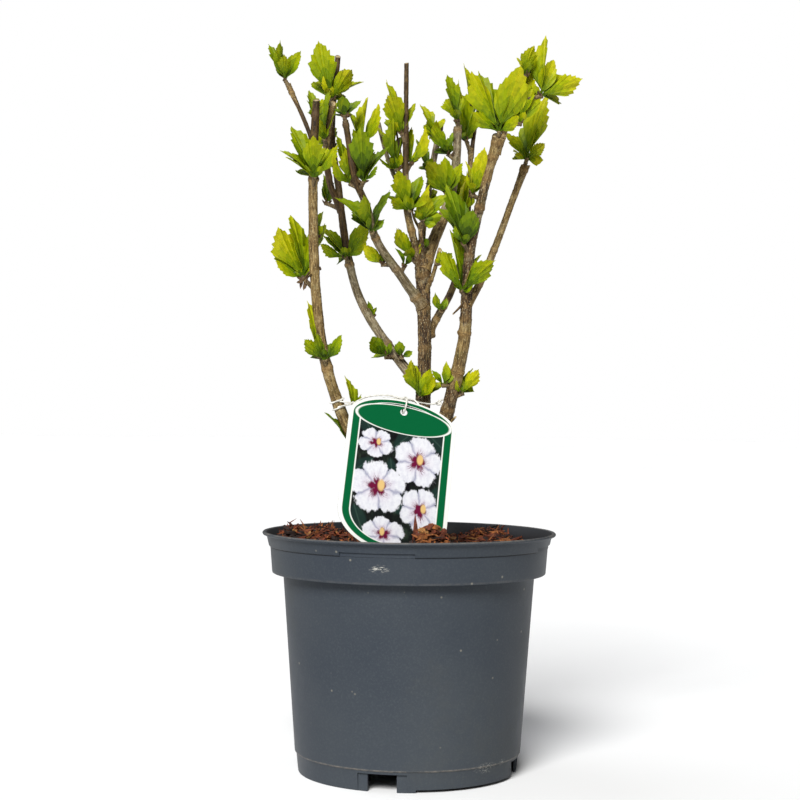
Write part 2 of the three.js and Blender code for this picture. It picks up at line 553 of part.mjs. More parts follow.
// A leaf with its stalk: a wedge-based blade folded up along its midrib, thick at the rib, fine at the edge.
function leafSolid({ root, along, face, reach, breadth, extra }) {
  const across = along.clone().cross(face).normalize();
  const half = breadth / 2;
  const vertices = [];
  const put = (run, side, rise) => {
    const spot = root.clone().addScaledVector(along, run).addScaledVector(across, side);
    vertices.push(...spot.addScaledVector(face, rise).toArray());
  };
  for (const [share, width] of LEAF_STATIONS) {
    const side = Math.max(half * width, STALK_HALF) + extra;
    const curl = -LEAF_CURL * reach * share * share;
    const fold = LEAF_CUP * (side - STALK_HALF);
    const thick = (LEAF_THICKNESS * (1 - LEAF_THINNING * share)) / 2 + extra;
    put(reach * share, -side, curl + fold);
    put(reach * share, 0, curl + thick);
    put(reach * share, side, curl + fold);
    put(reach * share, 0, curl - thick);
  }
  put(reach + extra, 0, -LEAF_CURL * reach);
  const tip = 4 * LEAF_STATIONS.length;
  const triangles = [0, 1, 2, 0, 2, 3];
  for (let station = 0; station < LEAF_STATIONS.length; station += 1) {
    for (let k = 0; k < 4; k += 1) {
      const a = 4 * station + k;
      const b = 4 * station + ((k + 1) % 4);
      if (station + 1 === LEAF_STATIONS.length) triangles.push(b, a, tip);
      else triangles.push(b, a, a + 4, b, a + 4, b + 4);
    }
  }
  const geometry = new THREE.BufferGeometry();
  geometry.setAttribute("position", new THREE.BufferAttribute(Float32Array.from(vertices), 3));
  geometry.setIndex(triangles);
  return toSolid(geometry);
}

// A leaf's direction and face from its leans; a leaf seen narrow is turned about its own length.
function leafPose(lean, reach, breadth, forward) {
  const [a, b] = [lean, forward].map(THREE.MathUtils.degToRad);
  const along = new THREE.Vector3(Math.sin(a) * Math.cos(b), -Math.sin(b), Math.cos(a) * Math.cos(b));
  const face = new THREE.Vector3(0, -1, 0).addScaledVector(along, along.y).normalize();
  const trueBreadth = Math.max(breadth, LEAF_SLIMNESS * reach);
  const turn = Math.acos(breadth / trueBreadth) * (lean > 0 ? -1 : 1);
  face.applyAxisAngle(along, turn);
  return { along, face, reach, breadth: trueBreadth };
}

function shortestEdge(solid) {
  const mesh = solid.getMesh();
  const corner = (i) => new THREE.Vector3().fromArray(mesh.vertProperties, 3 * mesh.triVerts[i]);
  let shortest = Infinity;
  for (let i = 0; i < mesh.triVerts.length; i += 3) {
    for (let k = 0; k < 3; k += 1) {
      shortest = Math.min(shortest, corner(i + k).distanceTo(corner(i + ((k + 1) % 3))));
    }
  }
  return shortest;
}

// A leaf joins its tuft in the first pose that touches nothing else and joins cleanly, or not at all.
function addLeaf(solid, bud, leaf, neighbours) {
  const across = leaf.along.clone().cross(leaf.face);
  const finest = Math.min(SHORTEST_EDGE, shortestEdge(solid));
  for (const [tilt, swing] of TRIES) {
    const along = leaf.along.clone().applyAxisAngle(across, tilt).applyAxisAngle(leaf.face, swing);
    const face = leaf.face.clone().applyAxisAngle(across, tilt);
    const root = bud.clone().addScaledVector(along, LEAF_SINK);
    const wide = leafSolid({ ...leaf, root, along, face, extra: WIDE_GAP });
    if (neighbours.some((other) => touches(wide, other))) continue;
    const joined = solid.add(leafSolid({ ...leaf, root, along, face, extra: 0 })).simplify(FINEST);
    if (shortestEdge(joined) >= finest) return joined;
  }
  return solid;
}

function buildTuft(tuft, limbClearances, others, random) {
  const start = limbCurve(tuft.on).getPointAt(tuft.at);
  const out = new THREE.Vector3(...tuft.out);
  out.setLength(Math.max(out.length(), limbRadius(tuft.on, tuft.at) + BUD_CLEARANCE));
  const bud = start.clone().add(out);
  const stemTip = bud.clone().addScaledVector(out.clone().normalize(), BUD_RADIUS / 2);
  const stem = new THREE.LineCurve3(start, stemTip);
  const stemRadius = (share) => (share < 0.6 ? STEM_RADIUS : BUD_RADIUS * (share < 0.9 ? 1 : 0.6));
  let solid = rod(stem, stemRadius, STEM_SIDES, stem.getLength() / 4, 0);
  for (const clearance of limbClearances) {
    if (boxesMeet(solid, clearance)) solid = solid.subtract(clearance);
  }
  const wanted = tuft.leaves.map((leaf) => leafPose(...leaf));
  for (let i = 0; i < tuft.more; i += 1) {
    const [lean, reach, breadth] = tuft.leaves[i % tuft.leaves.length];
    const away = -BACK_LEAN.least - BACK_LEAN.spread * random();
    const backLean = lean + BACK_SWING * (random() - 0.5);
    wanted.push(leafPose(backLean, reach * (0.75 + 0.2 * random()), breadth + BACK_WIDENING, away));
  }
  const neighbours = [...limbClearances, ...others];
  for (const leaf of wanted) solid = addLeaf(solid, bud, leaf, neighbours);
  return largest(solid);
}

const labelClearance = buildLabel(GAP);
addNode("pot", buildPot(), "pot");
addNode("soil", buildSoil(labelClearance), "soil");
addNode("label", buildLabel(0), "label");
const limbClearances = buildLimbs();
const looseTie = limbClearances.reduce((solid, limb) => solid.subtract(limb), buildTie());
addNode("label_tie", largest(looseTie.subtract(solids.get("label"))), "tie");
const random = seeded(1959);
const others = [labelClearance, solids.get("label_tie")];
for (const tuft of TUFTS) {
  const solid = buildTuft(tuft, limbClearances, others, random);
  addNode(tuft.name, solid, "leaf");
  others.push(solid);
}

export default object;
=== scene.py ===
# A young rose of sharon in a round nursery pot, with its plant label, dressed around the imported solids.
# Lengths in the tables are millimetres, as on a drawing; MM turns them into Blender's metres.
import math
import random

import bpy
import numpy as np
from mathutils import Matrix, Vector, noise


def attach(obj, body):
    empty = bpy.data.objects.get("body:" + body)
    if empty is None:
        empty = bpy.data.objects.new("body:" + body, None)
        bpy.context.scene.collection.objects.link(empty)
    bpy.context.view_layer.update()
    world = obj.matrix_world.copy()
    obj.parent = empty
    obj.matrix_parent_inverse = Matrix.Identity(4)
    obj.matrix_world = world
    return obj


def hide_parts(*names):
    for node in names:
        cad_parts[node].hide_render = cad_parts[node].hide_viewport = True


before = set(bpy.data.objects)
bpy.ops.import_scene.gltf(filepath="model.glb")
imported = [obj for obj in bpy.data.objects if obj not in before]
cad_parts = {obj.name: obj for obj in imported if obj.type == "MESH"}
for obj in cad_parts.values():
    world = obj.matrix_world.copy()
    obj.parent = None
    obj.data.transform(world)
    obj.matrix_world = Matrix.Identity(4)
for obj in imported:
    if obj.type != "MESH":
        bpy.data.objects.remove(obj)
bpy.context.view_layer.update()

MM = 0.001


# The studio: a pale seamless floor, a pale room and large soft lights, seen by a long lens
# level with the middle of the plant. The camera is rolled by less than half a degree.
def linear(hex_colour):
    """An sRGB hex value as the linear colour that Blender's sockets take."""
    channels = [int(hex_colour[i : i + 2], 16) / 255 for i in (1, 3, 5)]
    return [c / 12.92 if c <= 0.04045 else ((c + 0.055) / 1.055) ** 2.4 for c in channels] + [1]


def add_node(tree, kind, inputs=(), output=None, stops=(), **settings):
    """A shader node with its settings, or the one output of it that is asked for.

    Its inputs come in order, or by name or number: values, hex colours or other nodes' outputs."""
    node = tree.nodes.new("ShaderNode" + kind)
    for name, value in settings.items():
        setattr(node, name, value)
    for socket, value in inputs.items() if isinstance(inputs, dict) else enumerate(inputs):
        if isinstance(value, bpy.types.NodeSocket):
            tree.links.new(value, node.inputs[socket])
        else:
            node.inputs[socket].default_value = linear(value) if isinstance(value, str) else value
    for number, (place, colour) in enumerate(stops):
        ramp = node.color_ramp.elements
        stop = ramp[number] if number < 2 else ramp.new(place)
        stop.position = place
        stop.color = linear(colour) if isinstance(colour, str) else (colour, colour, colour, 1)
    return node if output is None else node.outputs[output]


def new_material(name, **shader_values):
    """A material with its shader's plain values set on the shader's own sockets."""
    material = bpy.data.materials.new(name)
    material.use_nodes = True
    tree = material.node_tree
    shader = tree.nodes["Principled BSDF"]
    for socket, value in shader_values.items():
        shader.inputs[socket.replace("_", " ")].default_value = value
    return material, tree, shader


CAMERA_PLACE = (-8, -1374, 290)
CAMERA_ROLL = math.radians(0.46)
LENS = 78.66
FILM_WIDTH = 36
SIGHT_METRES = 50

bpy.ops.object.camera_add(location=[v * MM for v in CAMERA_PLACE], rotation=(math.pi / 2, -CAMERA_ROLL, 0))
camera = bpy.context.object
camera.data.lens = LENS
camera.data.sensor_width = FILM_WIDTH
camera.data.clip_end = SIGHT_METRES
bpy.context.scene.camera = camera

# Matt white paper, plain and pale, with a faint fibre tone.
FLOOR_METRES = 12
paper, tree, shader = new_material("white_paper_sweep", Roughness=0.95)
grain = add_node(tree, "TexNoise", {"Scale": 40.0, "Detail": 4.0}, "Fac")
tone = add_node(tree, "ValToRGB", [grain], "Color", [(0.3, "#F6F6F5"), (0.7, "#FBFBFA")])
tree.links.new(tone, shader.inputs["Base Color"])
bpy.ops.object.select_all(action="DESELECT")
bpy.ops.mesh.primitive_circle_add(vertices=96, radius=FLOOR_METRES, fill_type="NGON")
floor = bpy.context.object
floor.name = "studio_floor"
floor.data.materials.append(paper)

# A white room that gives the object only part of its light, so that the key light still models its sides.
ROOM_LIGHT = 0.16
world = bpy.data.worlds.new("studio_room")
bpy.context.scene.world = world
world.use_nodes = True
room = world.node_tree
backdrop = room.nodes["Background"]
backdrop.inputs["Color"].default_value = linear("#FFFFFF")
backdrop.inputs["Strength"].default_value = 1.0
soft_room = add_node(room, "Background", {"Color": "#FFFFFF", "Strength": ROOM_LIGHT}, 0)
seen = add_node(room, "LightPath", output="Is Camera Ray")
both = add_node(room, "MixShader", (seen, soft_room, backdrop.outputs[0]), 0)
room.links.new(both, room.nodes["World Output"].inputs["Surface"])
bpy.context.scene.view_settings.view_transform = "Standard"

# Each light: name, where it comes from, its spread in degrees, its strength and its tint.
SOFT_LIGHTS = [
    ("key_light", (-0.25, -1.0, 0.8), 26, 4.3, "#FFFFFF"),
    ("fill_light", (-1.0, 0.5, 1.2), 50, 0.6, "#F2F5FF"),
]
for name, direction, spread, strength, tint in SOFT_LIGHTS:
    bpy.ops.object.light_add(type="SUN", location=direction)
    lamp = bpy.context.object
    lamp.name = name
    lamp.data.angle = math.radians(spread)
    lamp.data.energy = strength
    lamp.data.color = linear(tint)[:3]
    lamp.rotation_euler = (-Vector(direction)).to_track_quat("-Z", "Y").to_euler()


# The pot: a 23 cm nursery container, injection moulded in slate-grey polypropylene. A thin wall tapers to a
# hollow foot ring with four drain notches, and a deep collar with a rolled lip stiffens the top.
def spin_solid(name, points, steps, start=0.0, angle=2 * math.pi):
    """A profile of (radius, height) points, spun clockwise from its start into a closed solid.

    A part turn has its two ends filled."""
    bpy.ops.object.select_all(action="DESELECT")
    bpy.ops.mesh.primitive_plane_add(size=MM)
    piece = bpy.context.object
    piece.name = name
    bpy.ops.object.mode_set(mode="EDIT")
    bpy.ops.mesh.select_all(action="SELECT")
    bpy.ops.mesh.merge(type="CENTER")
    bpy.ops.transform.translate(value=(points[0][0] * MM, 0, points[0][1] * MM))
    for (r0, z0), (r1, z1) in zip(points, points[1:]):
        step = ((r1 - r0) * MM, 0, (z1 - z0) * MM)
        bpy.ops.mesh.extrude_vertices_move(TRANSFORM_OT_translate={"value": step})
    bpy.ops.mesh.select_all(action="SELECT")
    bpy.ops.transform.rotate(value=-start, orient_axis="Z", center_override=(0, 0, 0))
    bpy.ops.mesh.spin(steps=steps, angle=angle, center=(0, 0, 0), axis=(0, 0, 1))
    bpy.ops.mesh.select_all(action="SELECT")
    bpy.ops.mesh.remove_doubles(threshold=1e-6)
    if angle < 2 * math.pi:
        bpy.ops.mesh.select_all(action="DESELECT")
        bpy.ops.mesh.select_non_manifold()
        bpy.ops.mesh.edge_face_add()
        bpy.ops.mesh.fill_holes(sides=0)
    bpy.ops.mesh.select_all(action="SELECT")
    bpy.ops.mesh.normals_make_consistent(inside=False)
    bpy.ops.object.mode_set(mode="OBJECT")
    return piece


def pick(piece):
    """Makes a piece the only one selected, and the active one."""
    bpy.ops.object.select_all(action="DESELECT")
    bpy.context.view_layer.objects.active = piece
    piece.select_set(True)


def cut_away(piece, cutter):
    """Cuts one closed piece out of another and removes the cutter."""
    pick(piece)
    cut = piece.modifiers.new("cut", "BOOLEAN")
    cut.object = cutter
    cut.solver = "EXACT"
    bpy.ops.object.modifier_apply(modifier=cut.name)
    bpy.data.objects.remove(cutter, do_unlink=True)


def cut_ring(piece, inner, outer, low, high, first, last):
    """Cuts a ring sector out of a piece, its angles in degrees from the front, positive to the right."""
    square = [(inner, low), (outer, low), (outer, high), (inner, high), (inner, low)]
    steps = max(2, round((last - first) / 2))
    cut_away(piece, spin_solid("cutter", square, steps, math.radians(last - 90), math.radians(last - first)))


def round_edges(piece, width):
    """Gives a piece's edges a small moulded rounding."""
    pick(piece)
    soften = piece.modifiers.new("soften", "BEVEL")
    soften.width = width * MM
    soften.segments = 2
    soften.limit_method = "ANGLE"
    soften.angle_limit = math.radians(50)
    bpy.ops.object.modifier_apply(modifier=soften.name)


def soften_shading(piece, angle):
    """Smooth shading over edges flatter than the angle, in degrees."""
    pick(piece)
    bpy.ops.object.shade_smooth_by_angle(angle=math.radians(angle))


RIM_RADIUS = 115
FOOT_RADIUS = 85.6
COLLAR_RADIUS = 108.7
BAND_LOW = 175.6
POT_HEIGHT = 187
STEP_HEIGHT = 157
COMPOST_HEIGHT = 172
POT_OUTSIDE = [
    (82.8, 0), (85.0, 0), (85.6, 0.6), (86.4, 8), (87.2, 15.2), (87.5, 15.8), (88.4, 16.3),
    (91.4, 57.2), (94.9, 106), (98.5, 155), (106.5, 155), (107.0, 155.3), (107.2, 156.2),
    (108.0, 166), (108.7, 175.4), (109.5, 175.7), (109.9, 176.3), (111.6, 183.4), (112.1, 184.2),
    (113.6, 184.4), (114.5, 184.8), (115, 185.6), (114.9, 186.3), (114.3, 186.9), (113.4, 187),
]
POT_INSIDE = [
    (112.3, 186.8), (111.4, 186), (107.2, 175.6), (105.4, 157.4), (105, 157), (96.6, 153.8), (96.4, 153),
    (86.5, 19), (85.6, 17), (84, 16.2), (0, 16.2),
]
POT_UNDER = [(0, 14.2), (83.8, 14.2)]
POT_STEPS = 180
# The cuts, each at every quarter turn: the notch through the foot ring, the shallow cheeks on both sides of
# it, and a flat tab in the band under the lip. The foot stands clear of the ground in every second quarter.
CUT_INNER, CUT_OUTER, CUT_LOW = 70, 95, -1
NOTCH_TURN = -13
NOTCH_HEIGHT = 13.6
NOTCH_HALF = math.degrees(11.25 / FOOT_RADIUS)
CHEEK_INNER = FOOT_RADIUS - 0.4
CHEEK_TURN, CHEEK_LAP = 5, 1
TAB_INNER = COLLAR_RADIUS + 0.4
TAB_LOW, TAB_HIGH = BAND_LOW - 0.3, BAND_LOW + 2.9
TAB_HALF = 15
CLEAR_FROM, CLEAR_TO, CLEAR_HEIGHT = 17, 83, 2.3
EDGE_ROUNDING = 0.3
SHARP_EDGE = 38

pot = spin_solid("nursery_pot", POT_UNDER + POT_OUTSIDE + POT_INSIDE, POT_STEPS)
for quarter in range(4):
    middle = NOTCH_TURN + 90 * quarter
    left, right = middle - NOTCH_HALF, middle + NOTCH_HALF
    cut_ring(pot, CUT_INNER, CUT_OUTER, CUT_LOW, NOTCH_HEIGHT, left, right)
    cut_ring(pot, CHEEK_INNER, CUT_OUTER, CUT_LOW, NOTCH_HEIGHT, left - CHEEK_TURN, left + CHEEK_LAP)
    cut_ring(pot, CHEEK_INNER, CUT_OUTER, CUT_LOW, NOTCH_HEIGHT, right - CHEEK_LAP, right + CHEEK_TURN)
    cut_ring(pot, TAB_INNER, RIM_RADIUS, TAB_LOW, TAB_HIGH, middle - TAB_HALF, middle + TAB_HALF)
    if quarter % 2 == 0:
        cut_ring(pot, CUT_INNER, CUT_OUTER, CUT_LOW, CLEAR_HEIGHT, middle + CLEAR_FROM, middle + CLEAR_TO)
round_edges(pot, EDGE_ROUNDING)
soften_shading(pot, SHARP_EDGE)


def below(tree, value, limit, soft, full=1.0):
    """The full share where a value is under a limit and none where it is over, with a soft edge."""
    over = add_node(tree, "Math", (value, limit), 0, operation="SUBTRACT")
    return add_node(tree, "MapRange", (over, -soft, soft, full, 0.0), 0)


# Recycled polypropylene, moulded: a dull satin slate with a faint mottle, fine specks of dust and compost,
# lime drawn out along its ledges by watering, and a few pale scuffs on the front of the collar and the foot.
# Each layer over the slate is a share and a colour.
plastic, tree, shader = new_material("slate_polypropylene", Roughness=0.42, Specular_IOR_Level=0.16)
place = add_node(tree, "TexCoord", output="Object")
mottle = add_node(tree, "TexNoise", {"Vector": place, "Scale": 7.0, "Detail": 4.0, "Roughness": 0.5}, "Fac")
colour = add_node(tree, "ValToRGB", [mottle], "Color", [(0.32, "#31373F"), (0.68, "#3D4247")])
pores = add_node(tree, "TexNoise", {"Vector": place, "Scale": 620.0, "Detail": 3.0, "Roughness": 0.7}, "Fac")
pored = add_node(tree, "ValToRGB", [pores], "Color", [(0.48, 0.0), (0.74, 0.18)])
dust = add_node(tree, "TexNoise", {"Vector": place, "Scale": 9.0, "Detail": 8.0, "Roughness": 0.72}, "Fac")
dusty = add_node(tree, "ValToRGB", [dust], "Color", [(0.54, 0.0), (0.8, 0.22)])
specks = add_node(tree, "TexVoronoi", {"Vector": place, "Scale": 75.0, "Randomness": 1.0})
speck = add_node(tree, "ValToRGB", [specks.outputs["Distance"]], "Color", [(0.03, 0.6), (0.09, 0.0)])
rare = add_node(tree, "ValToRGB", [specks.outputs["Color"]], "Color", [(0.55, 0.0), (0.6, 1.0)])
speckled = add_node(tree, "Math", (speck, rare), 0, operation="MULTIPLY")
layers = [(pored, "#59605F"), (dusty, "#5A5748"), (speckled, "#8E8A7C")]

# Height and distance from the pot's axis, in millimetres.
axes = add_node(tree, "SeparateXYZ", [place])
high = add_node(tree, "Math", (axes.outputs["Z"], 1 / MM), 0, operation="MULTIPLY")
flat = add_node(tree, "CombineXYZ", (axes.outputs["X"], axes.outputs["Y"]), 0)
from_axis = add_node(tree, "VectorMath", [flat], "Value", operation="LENGTH")
outward = add_node(tree, "Math", (from_axis, 1 / MM), 0, operation="MULTIPLY")

# Lime on the ledges, in patches. Each ledge: its height, the line's breadth and strength, its inner radius.
LEDGES = [(16.2, 1.1, 0.75, 84), (186.6, 0.9, 0.42, 112), (156, 1.3, 0.12, 106.3)]
OUT_OF_REACH = 9.0
lime = add_node(tree, "TexNoise", {"Vector": place, "Scale": 120.0, "Detail": 6.0, "Roughness": 0.75}, "Fac")
patchy = add_node(tree, "MapRange", (lime, 0.4, 0.62, 0.1, 1.0), 0)
for ledge, breadth, strength, least in LEDGES:
    rise = add_node(tree, "Math", (high, ledge), 0, operation="SUBTRACT")
    near = add_node(tree, "Math", [rise], 0, operation="ABSOLUTE")
    within = add_node(tree, "Math", (outward, least), 0, operation="LESS_THAN")
    away = add_node(tree, "Math", (within, OUT_OF_REACH, near), 0, operation="MULTIPLY_ADD")
    line = add_node(tree, "MapRange", (away, 0.0, breadth, strength, 0.0), 0)
    layers.append((add_node(tree, "Math", (line, patchy), 0, operation="MULTIPLY"), "#90877A"))

# Painted shade on the wall inside, above the step: a dark colour, darkest where the wall meets the compost.
# The wall's middle flares with the lip.
wall_middle = add_node(tree, "MapRange", (high, STEP_HEIGHT, POT_HEIGHT, 106.1, 109.1), 0)
lip_flare = add_node(tree, "MapRange", (high, BAND_LOW, BAND_LOW + 20, 0.0, 5.4), 0)
parting = add_node(tree, "Math", (wall_middle, lip_flare), 0, operation="ADD")
inside = add_node(tree, "Math", (outward, parting), 0, operation="LESS_THAN")
above = add_node(tree, "Math", (high, STEP_HEIGHT + 0.5), 0, operation="GREATER_THAN")
inner_wall_above_step = add_node(tree, "Math", (inside, above), 0, operation="MULTIPLY")
inner_shade = add_node(tree, "MapRange", (high, COMPOST_HEIGHT, COMPOST_HEIGHT + 16, 0.95, 0.6), 0)
layers.append((add_node(tree, "Math", (inner_wall_above_step, inner_shade), 0, operation="MULTIPLY"), "#1B1715"))

# Painted shade in the crease under the lip's band, but not on its four tabs.
rise = add_node(tree, "Math", (high, TAB_LOW), 0, operation="SUBTRACT")
near = add_node(tree, "Math", [rise], 0, operation="ABSOLUTE")
crease = below(tree, near, 0.35, 0.3, 0.85)
bearing = add_node(tree, "Math", (axes.outputs["Y"], axes.outputs["X"]), 0, operation="ARCTAN2")
turned = add_node(tree, "Math", (bearing, math.radians(NOTCH_TURN)), 0, operation="SUBTRACT")
quarters = add_node(tree, "Math", (turned, 4.0), 0, operation="MULTIPLY")
tabs = add_node(tree, "Math", [quarters], 0, operation="COSINE")
between_tabs = add_node(tree, "Math", (tabs, 0.5), 0, operation="LESS_THAN")
layers.append((add_node(tree, "Math", (crease, between_tabs), 0, operation="MULTIPLY"), "#141517"))

# The scuffs: place, reach across and up, and strength, each a broken patch of fine pale scratches.
SCUFFS = [
    (-22, -106, 167, 9, 3.6, 0.9), (59, -66, 15, 13, 4.5, 0.55),
    (-16, -97, 157, 2, 1.6, 0.6), (70, -51, 17, 5, 3, 0.5),
]
drawn_out = add_node(tree, "Mapping", {"Vector": place, "Rotation": (0, 0.5, 0), "Scale": (0.35, 1, 1.6)}, 0)
values = {"Vector": drawn_out, "Scale": 640.0, "Detail": 4.0, "Roughness": 0.8}
scratch = add_node(tree, "TexNoise", values, "Fac")
scratched = add_node(tree, "ValToRGB", [scratch], "Color", [(0.53, 0.0), (0.6, 1.0)])
for x, y, z, reach, rise, strength in SCUFFS:
    shifted = add_node(tree, "Mapping", {"Vector": place, "Location": (-x * MM, -y * MM, -z * MM)}, 0)
    squeeze = (1 / MM / reach, 1 / MM / reach, 1 / MM / rise)
    squeezed = add_node(tree, "VectorMath", (shifted, squeeze), 0, operation="MULTIPLY")
    away = add_node(tree, "VectorMath", [squeezed], "Value", operation="LENGTH")
    patch = add_node(tree, "MapRange", (away, 0.4, 1.0, strength, 0.0), 0)
    layers.append((add_node(tree, "Math", (patch, scratched), 0, operation="MULTIPLY"), "#B9B7AE"))
for share, over in layers:
    colour = add_node(tree, "Mix", {0: share, 6: colour, 7: over}, 2, data_type="RGBA")
tree.links.new(colour, shader.inputs["Base Color"])
dulled = add_node(tree, "MapRange", (dust, 0.3, 0.75, 0.4, 0.6), 0)
tree.links.new(dulled, shader.inputs["Roughness"])
bump = add_node(tree, "Bump", {"Height": pores, "Strength": 0.15, "Distance": 0.3 * MM}, 0)
tree.links.new(bump, shader.inputs["Normal"])
pot.data.materials.append(plastic)
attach(pot, "root")
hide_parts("pot")


# The compost: dark, fibrous and crumbly, filled to a finger's breadth below the lip, and heaped a little at
# the sides and in front of the label.
def joined_mesh(name, parts, materials, smooth=False):
    """One object from many closed shapes, each its points in millimetres, its faces and each face's slot."""
    points, faces, slots, start = [], [], [], 0
    for part_points, part_faces, part_slots in parts:
        points.append(np.asarray(part_points, float))
        faces += [tuple(start + i for i in face) for face in part_faces]
        slots += part_slots if isinstance(part_slots, list) else [part_slots] * len(part_faces)
        start += len(part_points)
    mesh = bpy.data.meshes.new(name)
    mesh.from_pydata((np.concatenate(points) * MM).tolist(), [], faces)
    mesh.polygons.foreach_set("material_index", slots)
    mesh.polygons.foreach_set("use_smooth", [smooth] * len(faces))
    for material in materials:
        mesh.materials.append(material)
    mesh.update()
    piece = bpy.data.objects.new(name, mesh)
    bpy.context.collection.objects.link(piece)
    return piece


def ring_faces(rings, sides):
    """Quads between rings of points, with a fan at each end point: the first and the last point are poles."""
    faces = [(0, 1 + (i + 1) % sides, 1 + i) for i in range(sides)]
    for ring in range(rings - 1):
        a = 1 + ring * sides
        for i in range(sides):
            j = (i + 1) % sides
            faces.append((a + i, a + j, a + sides + j, a + sides + i))
    last = 1 + rings * sides
    faces += [(last, last - sides + i, last - sides + (i + 1) % sides) for i in range(sides)]
    return faces


def grained_material(name, grain, stops, relief=None, **shader_values):
    """A material coloured by one fine noise: its scale to the metre, its detail and its roughness.

    The same noise gives the relief, where there is one: its strength and its depth in millimetres."""
    material, tree, shader = new_material(name, **shader_values)
    scale, detail, roughness = grain
    place = add_node(tree, "TexCoord", output="Object")
    noise_values = {"Vector": place, "Scale": scale, "Detail": detail, "Roughness": roughness}
    height = add_node(tree, "TexNoise", noise_values, "Fac")
    tint = add_node(tree, "ValToRGB", [height], "Color", stops)
    tree.links.new(tint, shader.inputs["Base Color"])
    if relief:
        strength, depth = relief
        bump = add_node(tree, "Bump", {"Height": height, "Strength": strength, "Distance": depth * MM}, 0)
        tree.links.new(bump, shader.inputs["Normal"])
    return material


SOIL_LEVEL = COMPOST_HEIGHT
SOIL_AT_WALL = 174.5
SEAT_RADIUS = 22
SOIL_RADIUS = 107
# Each heap: its place, how far it rises and how far it spreads. The third is the one in front of the label.
HEAPS = [(-72, 58, 9, 24), (66, 62, 8, 22), (16, -92, 19, 12), (-40, -84, 4, 18), (-94, 18, 12, 15)]
CRUMB_RISE = 1.6
CRUMB_SCALE = 0.09
SOIL_SIDES = 150
SOIL_RINGS = 52
# The hidden sides and floor of the compost, just inside the pot's wall, as radius and height.
SOIL_SIDE = [(106.5, 172.0), (104.7, 157.4), (96.0, 153.2), (86.0, 19.0), (83.0, 16.6)]


def soil_height(x, y):
    """The compost's height at a place: it rises from the trunk to the wall, with heaps and crumbs on it."""
    radius = math.hypot(x, y)
    share = max(0, (radius - SEAT_RADIUS) / (RIM_RADIUS - SEAT_RADIUS))
    height = SOIL_LEVEL + (SOIL_AT_WALL - SOIL_LEVEL) * share
    height += sum(
        rise * math.exp(-((x - hx) ** 2 + (y - hy) ** 2) / spread**2) for hx, hy, rise, spread in HEAPS
    )
    crumbs = noise.fractal(Vector((x, y, 0)) * CRUMB_SCALE, 0.8, 2.1, 5)
    return height + CRUMB_RISE * crumbs * min(1, 0.3 + share)


soil_rings = [(radius, None) for radius in np.linspace(2.0, SOIL_RADIUS - 0.5, SOIL_RINGS)] + SOIL_SIDE
points = [(0, 0, soil_height(0, 0))]
for radius, height in soil_rings:
    for i in range(SOIL_SIDES):
        turn = 2 * math.pi * i / SOIL_SIDES
        x, y = radius * math.cos(turn), radius * math.sin(turn)
        points.append((x, y, soil_height(x, y) if height is None else height))
points.append((0, 0, SOIL_SIDE[-1][1]))
faces = [face[::-1] for face in ring_faces(len(soil_rings), SOIL_SIDES)]

# Moist peat-free compost: almost black-brown, dull, with reddish fibre and a few pale crumbs.
peat_free_tones = [(0.3, "#150D0A"), (0.52, "#38201A"), (0.75, "#6A3A20")]
compost = grained_material("moist_compost", (160, 8, 0.7), peat_free_tones, (0.9, 2), Roughness=0.95)
soil = joined_mesh("compost", [(points, faces, 0)], [compost], smooth=True)
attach(soil, "root")
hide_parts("soil")


# The mulch: composted bark strewn over the surface, flat flakes and torn fibres that lie at all angles and
# sink in. It is heaped in places, and two slivers stand upright in front of the label.
MULCH_RADIUS = 105
FLAKE_CORNERS = [(-0.5, 0.1), (-0.25, 0.5), (0.3, 0.42), (0.5, -0.05), (0.22, -0.5), (-0.32, -0.4)]
FIBRE_STATIONS = 5


def flake(draw, length, width, thick):
    """A torn flake of bark: an uneven six-cornered plate, hollowed across its width."""
    rim = []
    for u, v in FLAKE_CORNERS:
        rim.append((u * length * draw.uniform(0.8, 1.15), v * width * draw.uniform(0.7, 1.2)))
    hollow = draw.uniform(-0.25, 0.25) * width
    top = [(u, v, thick / 2 + hollow * (2 * v / width) ** 2) for u, v in rim]
    low = [(u * 0.94, v * 0.9, z - thick * draw.uniform(0.8, 1.2)) for u, v, z in top]
    sides = [(i, 6 + i, 6 + (i + 1) % 6, (i + 1) % 6) for i in range(6)]
    return np.array(top + low), [tuple(range(5, -1, -1)), tuple(range(6, 12))] + sides


def fibre(draw, length, width):
    """A torn fibre of bark: a thin three-sided splinter with a kink or two."""
    points, last = [], FIBRE_STATIONS - 1
    bend = [draw.uniform(-0.12, 0.12) * length for _ in range(FIBRE_STATIONS)]
    lift = [draw.uniform(-0.08, 0.08) * length for _ in range(FIBRE_STATIONS)]
    for s in range(FIBRE_STATIONS):
        share = s / last
        girth = width * (0.25 + math.sin(math.pi * share)) / 2
        for k in range(3):
            turn = 2 * math.pi * k / 3
            across, up = bend[s] + girth * math.cos(turn), lift[s] + girth * math.sin(turn)
            points.append(((share - 0.5) * length, across, up))
    faces = [(2, 1, 0), tuple(range(3 * last, 3 * last + 3))]
    for s in range(last):
        for k in range(3):
            a, b = 3 * s + k, 3 * s + (k + 1) % 3
            faces.append((a, b, b + 3, a + 3))
    return np.array(points), faces


def laid(points, draw, x, y, tilt, lift):
    """A shape turned at random and laid on the compost at x, y, or as near to there as the wall lets it."""
    turn = Matrix.Rotation(draw.uniform(0, 2 * math.pi), 3, "Z")
    lean = Matrix.Rotation(draw.gauss(0, tilt), 3, "X") @ Matrix.Rotation(draw.gauss(0, tilt), 3, "Y")
    points = points @ np.array(turn @ lean).T + (x, y, soil_height(x, y) + lift)
    excess = np.hypot(points[:, 0], points[:, 1]).max() - MULCH_RADIUS
    if excess > 0:
        points[:, :2] -= np.array([x, y]) / math.hypot(x, y) * excess
    return points


